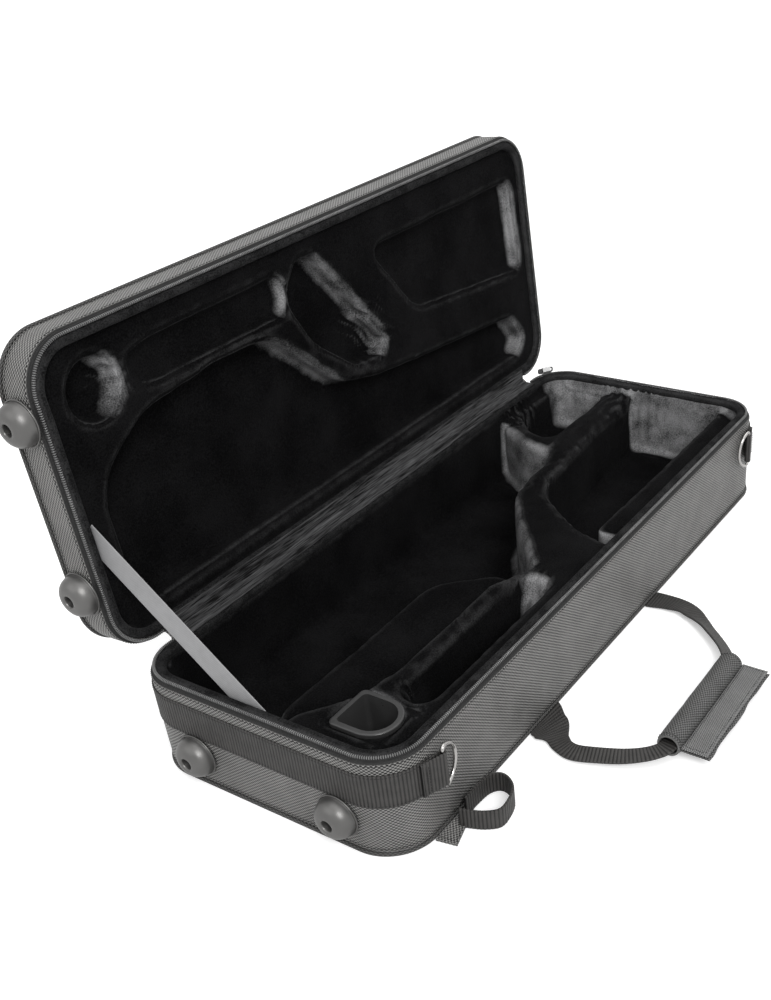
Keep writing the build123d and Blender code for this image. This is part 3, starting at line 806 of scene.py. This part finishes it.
def foam(name, sources, body, rounds, deep_rounds, gathers):
    """One soft skin over several foam solids: joined, remeshed, smoothed, gathered and swollen.

    Rounds of smoothing go over all of it, and deep_rounds more over what lies low in the case.
    """
    solid = bmesh.new()
    for source in sources:
        solid.from_mesh(frame["nodes"][source].data)
    mesh = bpy.data.meshes.new(name)
    solid.to_mesh(mesh)
    solid.free()
    soft = new_object(name, mesh)
    remesh = soft.modifiers.new("remesh", "REMESH")
    remesh.mode = "VOXEL"
    remesh.voxel_size = FOAM_VOXEL
    skin = soft.data = applied(soft)
    if deep_rounds:
        low = soft.vertex_groups.new(name="low")
        for vertex in skin.vertices:
            share = min(1.0, max(0.0, (DEEP_LEVEL - vertex.co.z) / DEEP_BLEND))
            low.add([vertex.index], share, "REPLACE")
    for group, count in (("", rounds), ("low", deep_rounds)):
        if count:
            smooth = soft.modifiers.new("smooth", "SMOOTH")
            smooth.factor = 0.5
            smooth.iterations = count
            smooth.vertex_group = group
    final = applied(soft)
    soft.vertex_groups.clear()
    soft.data = final
    lifted = []
    for place, normal in [(vertex.co.copy(), vertex.normal.copy()) for vertex in final.vertices]:
        lifted.extend(place + normal * relaxed(place, gathers))
    final.vertices.foreach_set("co", lifted)
    final.update()
    final.materials.clear()
    final.materials.append(plush)
    final.polygons.foreach_set("use_smooth", [True] * len(final.polygons))
    half_place, height = (BASE_PLACE, BASE_HEIGHT) if body == "base" else (LID_PLACE, LID_HEIGHT)
    swollen(soft, lambda place: foam_reach(place, half_place, height))
    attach(soft, body)
    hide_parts(*sources)


foam("base_plush", BASE_FOAM, "base", rounds=7, deep_rounds=30, gathers=BASE_GATHERS)
foam("lid_plush", ["lid_foam_block"], "lid", rounds=9, deep_rounds=0, gathers=LID_GATHERS)

# Feet

FOOT_RADIUS = 0.024
FOOT_HEIGHT = 0.020
FOOT_HOLE = 0.0065
DOME_LOW = 0.0034


def lathe(profile, count=64):
    """Turns (radius, height) points round the z axis."""
    rings = []
    for k in range(count):
        angle = 2 * pi * k / count
        rings.append([(r * cos(angle), r * sin(angle), z) for r, z in profile])
    around = [2 * pi * FOOT_RADIUS * k / count for k in range(count + 1)]
    return grid(rings, around, lengths([(r, z, 0) for r, z in profile], False), True, False)


def foot():
    edge = FOOT_RADIUS
    flange = [(0.0, 0.0), (0.017, 0.0), (0.017, 0.0022), (edge - 0.0004, 0.0022), (edge, 0.0026)]
    flange += [(edge, 0.0032), (edge - 0.0003, 0.0037), (edge - 0.0012, 0.0038), (edge - 0.0017, 0.0031)]
    dome = []
    lip = 0.0006
    for k in range(15):
        angle = pi / 2 * k / 14
        radius = FOOT_HOLE + lip + (edge - 0.0019 - FOOT_HOLE - lip) * cos(angle) ** 0.85
        dome.append((radius, DOME_LOW + (FOOT_HEIGHT - DOME_LOW) * sin(angle) ** 0.95))
    bore = [(FOOT_HOLE, FOOT_HEIGHT - 0.0005), (FOOT_HOLE - 0.0004, FOOT_HEIGHT - 0.002)]
    bore += [(FOOT_HOLE - 0.0006, 0.0068), (0, 0.0068)]
    return lathe(flange + dome + bore)


def screw():
    head = [(0, 0.0069), (0.0030, 0.0069), (0.0030, 0.0078), (0.0024, 0.0086), (0.001, 0.0088), (0, 0.0084)]
    return lathe(head, 24)


def placed(mesh_data, place):
    verts, faces, uvs = mesh_data
    return [place @ Vector(v) for v in verts], faces, uvs


FOOT_SPACING = 0.180
FEET_AHEAD = 0.004
BASE_FOOT_RISE = 0.0395
LID_FOOT_RISE = BASE_HEIGHT + RIM_GAP + 0.0245
for half, rise, place in (("base", BASE_FOOT_RISE, HERE), ("lid", LID_FOOT_RISE, OPENING)):
    outward = Matrix.Rotation(-pi / 2, 4, "Y")
    spots = [
        place @ Matrix.Translation((-HALF_LENGTH, end * FOOT_SPACING / 2 - FEET_AHEAD, rise)) @ outward
        for end in (-1, 1)
    ]
    domes = merged(*(placed(foot(), spot) for spot in spots))
    screws = merged(*(placed(screw(), spot) for spot in spots))
    add_piece(half + "_foot_domes", domes, foot_plastic, half, HERE, [half + "_feet"], 50)
    add_piece(half + "_foot_heads", screws, screw_metal, half, HERE, [half + "_foot_screws"])

# Webbing bands round the ends

BAND_LOW = 0.061
BAND_WIDTH = 0.039
BAND_THICKNESS = 0.0016
RIB_PITCH = 0.0038
BAND_ROW_INSET = 0.0028


BAND_RUNS = {
    "left": (LEFT_END, LEFT_END + 2 * ARC + 2 * STRAIGHT_Y),
    "right": (RIGHT_END, RIGHT_END + 2 * ARC + 2 * STRAIGHT_Y),
}
for side, (start, end) in BAND_RUNS.items():
    path, normals = outline_row(start, end, RIB_PITCH / 4, BAND_THICKNESS / 2, BAND_LOW + BAND_WIDTH / 2)
    strip = ribbon(path, UP, BAND_WIDTH, BAND_THICKNESS * 0.7, RIB_PITCH, 0.00045)
    band = add_piece("band_" + side, strip, webbing, "base", HERE, ["end_band_" + side])
    rows = []
    for z in (BAND_LOW + BAND_ROW_INSET, BAND_LOW + BAND_WIDTH - BAND_ROW_INSET):
        rows.append(stitches(*outline_row(start, end, RIB_PITCH / 4, BAND_THICKNESS, z)))
    add_piece("band_stitching_" + side, merged(*rows), thread, "base")

# D-ring loops: webbing folded round the ring's bar and sewn to the end of the band

LOOP_TAIL_ANGLE = radians(15)
LOOP_STANDS_OFF = 0.0035
RING_BAR_GAP = 0.0031
TACK_ENDS = 0.003


def loop_path(side):
    """The fold's path round its ring, with the middle of its tacking and its outer or inner normal."""
    pin = Vector((*joints["d_ring_" + ("left" if side < 0 else "right") + "_swing"]["pos_m"][:2], 0))
    swing = CORNER + LOOP_STANDS_OFF
    tail = Vector((side * (STRAIGHT_X + swing * sin(LOOP_TAIL_ANGLE)), CORNER - HALF_WIDTH, 0))
    tail.y -= swing * cos(LOOP_TAIL_ANGLE)
    along = (pin - tail).normalized()
    turn = Vector((-along.y, along.x, 0))
    path = [tail + turn * 0.0008, tail.lerp(pin, 0.35) + turn * 0.0011, tail.lerp(pin, 0.7) + turn * 0.0022]
    for k in range(9):
        angle = pi * k / 8
        path.append(pin + (turn * cos(angle) + along * sin(angle)) * RING_BAR_GAP)
    path += [tail.lerp(pin, 0.7) - turn * 0.0022, tail.lerp(pin, 0.35) - turn * 0.0011, tail - turn * 0.0008]
    middle = Vector((0, 0, BAND_LOW + BAND_WIDTH / 2))
    return smooth_path([point + middle for point in path], RIB_PITCH / 4), tail.lerp(pin, 0.25), turn


for side, sign in (("left", -1), ("right", 1)):
    path, tack, turn = loop_path(sign)
    fold = ribbon(path, UP, BAND_WIDTH - 0.001, BAND_THICKNESS * 0.75, RIB_PITCH, 0.0004)
    add_piece("ring_fold_" + side, fold, webbing, "base", HERE, ["ring_loop_" + side])
    outward = turn if turn.y < 0 else -turn
    rows = []
    for shift in (-0.0015, 0.0015):
        start = tack + outward * 0.0026 + Vector((shift, 0, BAND_LOW + TACK_ENDS))
        rows.append(stitches([start, start + UP * (BAND_WIDTH - 2 * TACK_ENDS)], outward))
    add_piece("ring_tacking_" + side, merged(*rows), thread, "base")

# Fabrics across the hinge


def lid_point(reach, depth):
    """Point in the side view of the open lid: reach from the hinge line, depth out from it."""
    across = Vector((0, -cos(OPEN_ANGLE), sin(OPEN_ANGLE)))
    out = Vector((0, sin(OPEN_ANGLE), cos(OPEN_ANGLE)))
    return Vector((0, HINGE.y, HINGE.z)) + across * reach + out * depth


HINGE_CLOTH_THICKNESS = 0.0011


def across_hinge(name, points, half, material, replaced):
    """A stretched sheet of a half length, laid along the points from the base to the open lid."""
    path = smooth_path(points, 0.0012)
    strip = ribbon(path, Vector((1, 0, 0)), 2 * half, HINGE_CLOTH_THICKNESS)
    piece = add_piece(name, strip, material, None, HERE, [replaced])
    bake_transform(piece)


INNER_STRIP = [Vector((0, y, 0.1196)) for y in (0.1497, 0.1560, 0.1620, 0.1655)]
INNER_STRIP.append(Vector((0, 0.1672, 0.1202)))
INNER_STRIP += [lid_point(reach, -0.0002) for reach in (0.003, 0.008, 0.013, 0.0188)]
OUTER_FABRIC = [Vector((0, 0.1659, z)) for z in (0.0922, 0.1000, 0.1080, 0.1150)]
OUTER_FABRIC.append(Vector((0, 0.1674, 0.1180)))
OUTER_FABRIC += [lid_point(0.0021, depth) for depth in (0.0045, 0.0084, 0.016, 0.0238)]
across_hinge(
    "hinge_velour", INNER_STRIP, 0.352, hinge_velour_cloth,
    "hinge_inner_strip",
)
across_hinge(
    "hinge_cloth", OUTER_FABRIC, 0.358, nylon,
    "hinge_outer_fabric",
)

# Stay strap

STAY_LOW = Vector((-0.4030, 0.0050, 0.1040))
STAY_TOP = Vector((-0.4030, 0.1899, 0.2602))
STAY_WIDTH = 0.030
STAY_THICKNESS = 0.0011
stay_across = Vector((1, 0, 0)).cross((STAY_TOP - STAY_LOW).normalized())
stay_path = [STAY_LOW.lerp(STAY_TOP, share) for share in steps(0, 1, 0.012)]
stay_strip = ribbon(stay_path, stay_across, STAY_WIDTH, STAY_THICKNESS)
stay = add_piece("stay_ribbon", stay_strip, ribbon_cloth, None, HERE, ["stay_strap"])
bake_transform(stay)

# Carrying handle

STRAP_WIDTH = 0.02
STRAP_THICKNESS = 0.0021
STRAP_RIB = 0.0003
STRAP_STEP = 0.0019
GRIP_AXIS_Y = -0.306
GRIP_RISE = 0.0136
GRIP_ENDS = (-0.163, -0.005)
GRIP_RADIUS = 0.0132
GRIP_BORE = 0.0101


def mixed(pairs, share):
    """Value at a share of the way, between given (share, value) pairs."""
    for (a, low), (b, high) in zip(pairs, pairs[1:]):
        if share <= b:
            here = (share - a) / (b - a)
            return low + (high - low) * here * here * (3 - 2 * here)
    return pairs[-1][1]


SEWN_SHARE = 0.075


def strap(points, widths, leans):
    """Webbing that lies along a path, sewn in level at both ends; leans are degrees about its own line."""
    path = smooth_path([Vector(point) for point in points], STRAP_STEP)
    sides, spans = [], []
    for k in range(len(path)):
        ahead = heading(path, k).normalized()
        side = ahead.cross(UP).normalized()
        share = k / (len(path) - 1)
        sewn = max(0.0, 1 - min(share, 1 - share) / SEWN_SHARE)
        side = side.lerp(Vector((1 if side.x > 0 else -1, 0, 0)), sewn).normalized()
        sides.append(Matrix.Rotation(radians(mixed(leans, share)), 3, ahead) @ side)
        spans.append(mixed(widths, share))
    return ribbon(path, sides, STRAP_WIDTH, STRAP_THICKNESS, RIB_PITCH, STRAP_RIB, spans)


# Points in metres; widths and leans go with shares of the way from the left root to the right one
HANDLE_POINTS = [
    (-0.1705, -0.1675, 0.0022), (-0.1780, -0.1760, 0.0026), (-0.1900, -0.1910, 0.0036),
    (-0.2035, -0.2075, 0.0048), (-0.2085, -0.2230, 0.0060), (-0.2045, -0.2430, 0.0076),
    (-0.1940, -0.2740, 0.0104), (-0.1780, -0.2975, 0.0128), (-0.1580, -0.3060, 0.0136),
    (-0.1000, -0.3060, 0.0136), (-0.0300, -0.3060, 0.0136), (-0.0080, -0.3030, 0.0134),
    (0.0080, -0.2950, 0.0124), (0.0290, -0.2780, 0.0094), (0.0560, -0.2480, 0.0078),
    (0.0720, -0.2270, 0.0062), (0.0810, -0.2110, 0.0048), (0.0840, -0.1900, 0.0032),
    (0.0825, -0.1675, 0.0022),
]
HANDLE_WIDTHS = [(0, 0.058), (0.035, 0.046), (0.085, 0.023), (0.115, 0.020), (0.34, 0.019), (0.62, 0.0175)]
HANDLE_WIDTHS += [(0.7, 0.0165), (0.84, 0.0195), (0.89, 0.0250), (0.95, 0.029), (1, 0.032)]
HANDLE_LEANS = [(0, 0), (0.06, 0), (0.11, 14), (0.2, 10), (0.33, 0), (0.55, 0)]
HANDLE_LEANS += [(0.66, 30), (0.8, 30), (0.87, 8), (1, 0)]
handle_strip = strap(HANDLE_POINTS, HANDLE_WIDTHS, HANDLE_LEANS)
add_piece("handle_webbing", handle_strip, webbing, "handle", HERE, ["handle_strap"])

ROLLED_END = 0.004


def wrap():
    """Padded cloth rolled round the strap: an open tube with its lower flange."""
    outer, inner, count = [], [], 36
    for k in range(count + 1):
        angle = -pi + 2 * pi * k / count
        outer.append((GRIP_RADIUS * cos(angle), GRIP_RADIUS * sin(angle)))
        inner.append((GRIP_BORE * cos(angle), GRIP_BORE * sin(angle)))
    section = outer + inner[::-1]
    rings, run = [], steps(*GRIP_ENDS, ROLLED_END)
    for x in run:
        from_end = min(x - GRIP_ENDS[0], GRIP_ENDS[1] - x)
        rolled = 0.0008 * max(0.0, 1 - from_end / ROLLED_END) ** 2
        ring = []
        for index, (y, z) in enumerate(section):
            crease = 0.0004 * noise.noise(Vector((x * 60, y * 150, z * 150)))
            size = (GRIP_RADIUS - rolled + crease) / GRIP_RADIUS if index <= count else 1.0
            ring.append((x, GRIP_AXIS_Y + y * size, GRIP_RISE + z * size))
        rings.append(ring)
    return grid(rings, run, lengths([(y, z, 0) for y, z in section], True), False, True)


PAD_STEP = 0.0024


def pad(x_ends, y_ends, low, high, wave_height, corner, ripple=0.0):
    """Padded flat piece with rolled edges and a slightly wavy lie; UVs follow its plan."""
    x0, x1 = x_ends
    y0, y1 = y_ends
    xs, ys = steps(x0, x1, PAD_STEP), steps(y0, y1, PAD_STEP)
    verts, faces = [], []
    for top in (True, False):
        for x in xs:
            for y in ys:
                edge = min(x - x0, x1 - x, y - y0, y1 - y)
                swell = (1 - max(0.0, 1 - edge / corner) ** 2) ** 0.5
                middle = (low + high) / 2
                rise = wave_height * noise.noise(Vector((x * 55, y * 55, 3.0)))
                z = middle + rise + (1 if top else -1) * (high - low) / 2 * (0.25 + 0.75 * swell)
                sway = ripple * noise.noise(Vector((x * 50, 0.5, 0.5))) * (y1 - y) / (y1 - y0)
                verts.append((x, y + sway, z))
    nx, ny = len(xs), len(ys)
    for layer in (0, nx * ny):
        for i in range(nx - 1):
            for j in range(ny - 1):
                a = layer + i * ny + j
                faces.append([a, a + ny, a + ny + 1, a + 1])
    rim = [i * ny for i in range(nx)] + [(nx - 1) * ny + j for j in range(1, ny)]
    rim += [i * ny + ny - 1 for i in range(nx - 2, -1, -1)] + list(range(ny - 2, 0, -1))
    for a, b in zip(rim, rim[1:] + rim[:1]):
        faces.append([a, b, b + nx * ny, a + nx * ny])
    return verts, faces, [[verts[k][:2] for k in face] for face in faces]


FLANGE_Y = (-0.3500, -0.3165)
FLAP_Y = (-0.3478, -0.3195)
flange = pad(GRIP_ENDS, FLANGE_Y, 0.0106, 0.0130, wave_height=0.0006, corner=0.0018, ripple=0.0022)
rolled_up = merged(wrap(), flange)
grip_wrap = add_piece("grip_wrap", rolled_up, grip_nylon, "handle", HERE, ["handle_grip"])
FLAP_LOW, FLAP_HIGH = 0.0139, 0.0161
FLAP_ROWS_X = (GRIP_ENDS[0] + 0.004, GRIP_ENDS[1] - 0.004)
FLAP_ROWS_Y = (FLAP_Y[0] + 0.0035, FLAP_Y[1] - 0.0030)
FLAP_SWELL = 0.0005


def flap_reach(place):
    """The padding swells between the rows of stitches and stays flat at them."""
    from_row = min([abs(place[0] - x) for x in FLAP_ROWS_X] + [abs(place[1] - y) for y in FLAP_ROWS_Y])
    return min(FLAP_SWELL, 0.00005 + 0.14 * from_row)


flap = pad(GRIP_ENDS, FLAP_Y, FLAP_LOW, FLAP_HIGH, wave_height=0.0002, corner=0.0018)
grip_cover = add_piece("grip_top_flap", flap, flap_nylon, "grip_flap", HERE, ["grip_flap"])
swollen(grip_cover, flap_reach)


(row_left, row_right), (row_front, row_back) = FLAP_ROWS_X, FLAP_ROWS_Y
flap_corners = [(row_left, row_front), (row_right, row_front), (row_right, row_back), (row_left, row_back)]
flap_line = [Vector((x, y, FLAP_HIGH + THREAD_LIFT)) for x, y in flap_corners + flap_corners[:1]]
add_piece("grip_flap_stitching", seams(flap_line), grip_thread, "grip_flap")
end_rows = []
for x in FLAP_ROWS_X:
    arc = [(cos(a), sin(a)) for a in steps(-0.7 * pi, 0.9 * pi, 0.15)]
    ring = [Vector((x, GRIP_AXIS_Y + GRIP_RADIUS * c, GRIP_RISE + GRIP_RADIUS * s)) for c, s in arc]
    end_rows.append(stitches(ring, [Vector((0, c, s)) for c, s in arc]))
add_piece("grip_end_stitching", merged(*end_rows), grip_thread, "handle")

# Webbing loop on the lid

LID_TOP = BASE_HEIGHT + RIM_GAP + LID_HEIGHT
LOOP_LEVEL = LID_TOP + 0.0021
LOOP_ROOT_Y = -HALF_WIDTH + 0.009
LOOP_MIDDLE_X = -0.040
LOOP_HALF = 0.126
LOOP_REACH = 0.112
bends = [(-LOOP_HALF, 0), (-LOOP_HALF + 0.004, 0.045), (-LOOP_HALF + 0.012, 0.088)]
bends += [(-LOOP_HALF + 0.034, 0.108), (-LOOP_HALF + 0.060, LOOP_REACH), (0, LOOP_REACH)]
bends += [(-x, y) for x, y in bends[-2::-1]]
loop_points = [Vector((LOOP_MIDDLE_X + x, LOOP_ROOT_Y + y, LOOP_LEVEL)) for x, y in bends]
loop_line = smooth_path(loop_points, STRAP_STEP)
hang = (
    Matrix.Translation((0, LOOP_ROOT_Y, LOOP_LEVEL))
    @ Matrix.Rotation(OPEN_ANGLE - pi / 2, 4, "X")
    @ Matrix.Translation((0, -LOOP_ROOT_Y, -LOOP_LEVEL))
)
loop_sides = [heading(loop_line, k).cross(UP).normalized() for k in range(len(loop_line))]
loop_strap = ribbon(loop_line, loop_sides, 0.0186, 0.0030, RIB_PITCH, STRAP_RIB)
add_piece("lid_loop", loop_strap, webbing, "lid_handle", OPENING @ hang, ["lid_handle_strap"])

# Anchor for a backpack strap

TAB_LOW, TAB_HIGH = 0.0006, 0.0029
TAB_CORNERS = [(-0.3747, -0.1675), (-0.3710, -0.1897), (-0.3180, -0.1750), (-0.3095, -0.1675)]
ANCHOR_HEIGHT = 0.024
ANCHOR_POINTS = [
    (-0.3330, -0.1748), (-0.3130, -0.1752), (-0.2960, -0.1775), (-0.2868, -0.1850), (-0.2880, -0.1960),
    (-0.2975, -0.2070), (-0.3130, -0.2120), (-0.3290, -0.2120), (-0.3390, -0.2010), (-0.3445, -0.1880),
    (-0.3475, -0.1775),
]


def plate(corners, low, high, lip):
    """Flat piece of any outline with a rounded upper edge."""
    middle = sum((Vector(corner) for corner in corners), Vector((0, 0))) / len(corners)
    rings = []
    for height, inset in ((low, 0.0), (high - lip, 0.0), (high - lip * 0.3, lip * 0.3), (high, lip)):
        ring = []
        for corner in corners:
            inward = (middle - Vector(corner)).normalized() * inset
            ring.append((corner[0] + inward.x, corner[1] + inward.y, height))
        rings.append(ring)
    return flat_uvs(grid(rings, [0, 0.001, 0.002, 0.003], [0, 0.02, 0.05, 0.08, 0.1], False, True))


tab = plate(TAB_CORNERS, TAB_LOW, TAB_HIGH, 0.0008)
add_piece("anchor_tab", tab, nylon, "base", HERE, ["strap_tab"])
hem = [Vector((x, y, TAB_HIGH)) for x, y in ((-0.3700, -0.1690), (-0.3680, -0.1868), (-0.3190, -0.1732))]
add_piece("anchor_tab_stitching", seams(hem), thread, "base")
anchor_points = [Vector((x, y, 0.0005 + ANCHOR_HEIGHT / 2)) for x, y in ANCHOR_POINTS]
anchor_path = smooth_path(anchor_points, RIB_PITCH / 4)
anchor = ribbon(anchor_path, UP, ANCHOR_HEIGHT - 0.0006, 0.0020, RIB_PITCH, STRAP_RIB)
add_piece("anchor_webbing", anchor, webbing, "base", HERE, ["strap_tab_webbing"])

# Camera, floor and light; the camera was solved from the photograph, in metres, degrees and pixels

CAMERA_PLACE = (-0.99823, -0.68906, 0.79881)
CAMERA_TURN = (-53.621, 33.006, -5.375)
FOCAL_PIXELS = 1184.014
FRAME_PIXELS = (771, 1000)
CENTRE_PIXELS = (466.08, 595.36)
SENSOR = 36.0

camera_data = bpy.data.cameras.new("camera")
camera = new_object("camera", camera_data)
azimuth, elevation, roll = (radians(turn) for turn in CAMERA_TURN)
camera.matrix_world = (
    Matrix.Translation(CAMERA_PLACE)
    @ Matrix.Rotation(azimuth, 4, "Z")
    @ Matrix.Rotation(pi / 2 - elevation, 4, "X")
    @ Matrix.Rotation(roll, 4, "Z")
)
camera_data.sensor_width = SENSOR
camera_data.lens = FOCAL_PIXELS / max(FRAME_PIXELS) * SENSOR
camera_data.shift_x = (FRAME_PIXELS[0] / 2 - CENTRE_PIXELS[0]) / max(FRAME_PIXELS)
camera_data.shift_y = (CENTRE_PIXELS[1] - FRAME_PIXELS[1] / 2) / max(FRAME_PIXELS)
bpy.context.scene.camera = camera

FLOOR_SIZE = 60.0
FLOOR_GLOW = 0.38
floor_material, floor_tree, floor_shader = new_material("pale_floor", 0.9)
seen = floor_tree.nodes.new("ShaderNodeLightPath").outputs["Is Camera Ray"]
glow = maths(floor_tree, "MULTIPLY", seen, FLOOR_GLOW)
feed(floor_shader, {"Base Color": (*grey(0.86), 1), "Specular IOR Level": 0.0})
feed(floor_shader, {"Emission Color": (1, 1, 1, 1), "Emission Strength": glow})
half_floor = FLOOR_SIZE / 2
corners = [(-half_floor, -half_floor, 0), (half_floor, -half_floor, 0), (half_floor, half_floor, 0)]
corners.append((-half_floor, half_floor, 0))
floor_mesh = bpy.data.meshes.new("floor")
floor_mesh.from_pydata(corners, [], [[0, 1, 2, 3]])
floor_mesh.materials.append(floor_material)
ground = new_object("floor", floor_mesh)

world = bpy.context.scene.world or bpy.data.worlds.new("world")
bpy.context.scene.world = world
world.use_nodes = True
WORLD_LIGHT = 0.6
sky = world.node_tree
background = sky.nodes["Background"]
rays = sky.nodes.new("ShaderNodeLightPath")
plain_rays = maths(sky, "MAXIMUM", rays.outputs["Is Camera Ray"], rays.outputs["Is Glossy Ray"])
plain_rays = maths(sky, "MAXIMUM", plain_rays, rays.outputs["Is Transmission Ray"])
brightness = maths(sky, "MULTIPLY_ADD", plain_rays, 1.0 - WORLD_LIGHT, WORLD_LIGHT)
feed(background, {"Color": (1, 1, 1, 1), "Strength": brightness})


def sun(name, towards, elevation, strength, softness):
    """Soft light that comes from a compass bearing round the case, 0 being the handle side."""
    data = bpy.data.lights.new(name, "SUN")
    data.energy = strength
    data.angle = radians(softness)
    lamp = new_object(name, data)
    lamp.rotation_euler = (radians(90 - elevation), 0, radians(towards))


sun("key", towards=-34, elevation=42, strength=1.7, softness=22)
sun("fill", towards=-115, elevation=40, strength=0.5, softness=50)
sun("top", towards=60, elevation=78, strength=0.9, softness=60)

bpy.context.scene.view_settings.view_transform = "Standard"
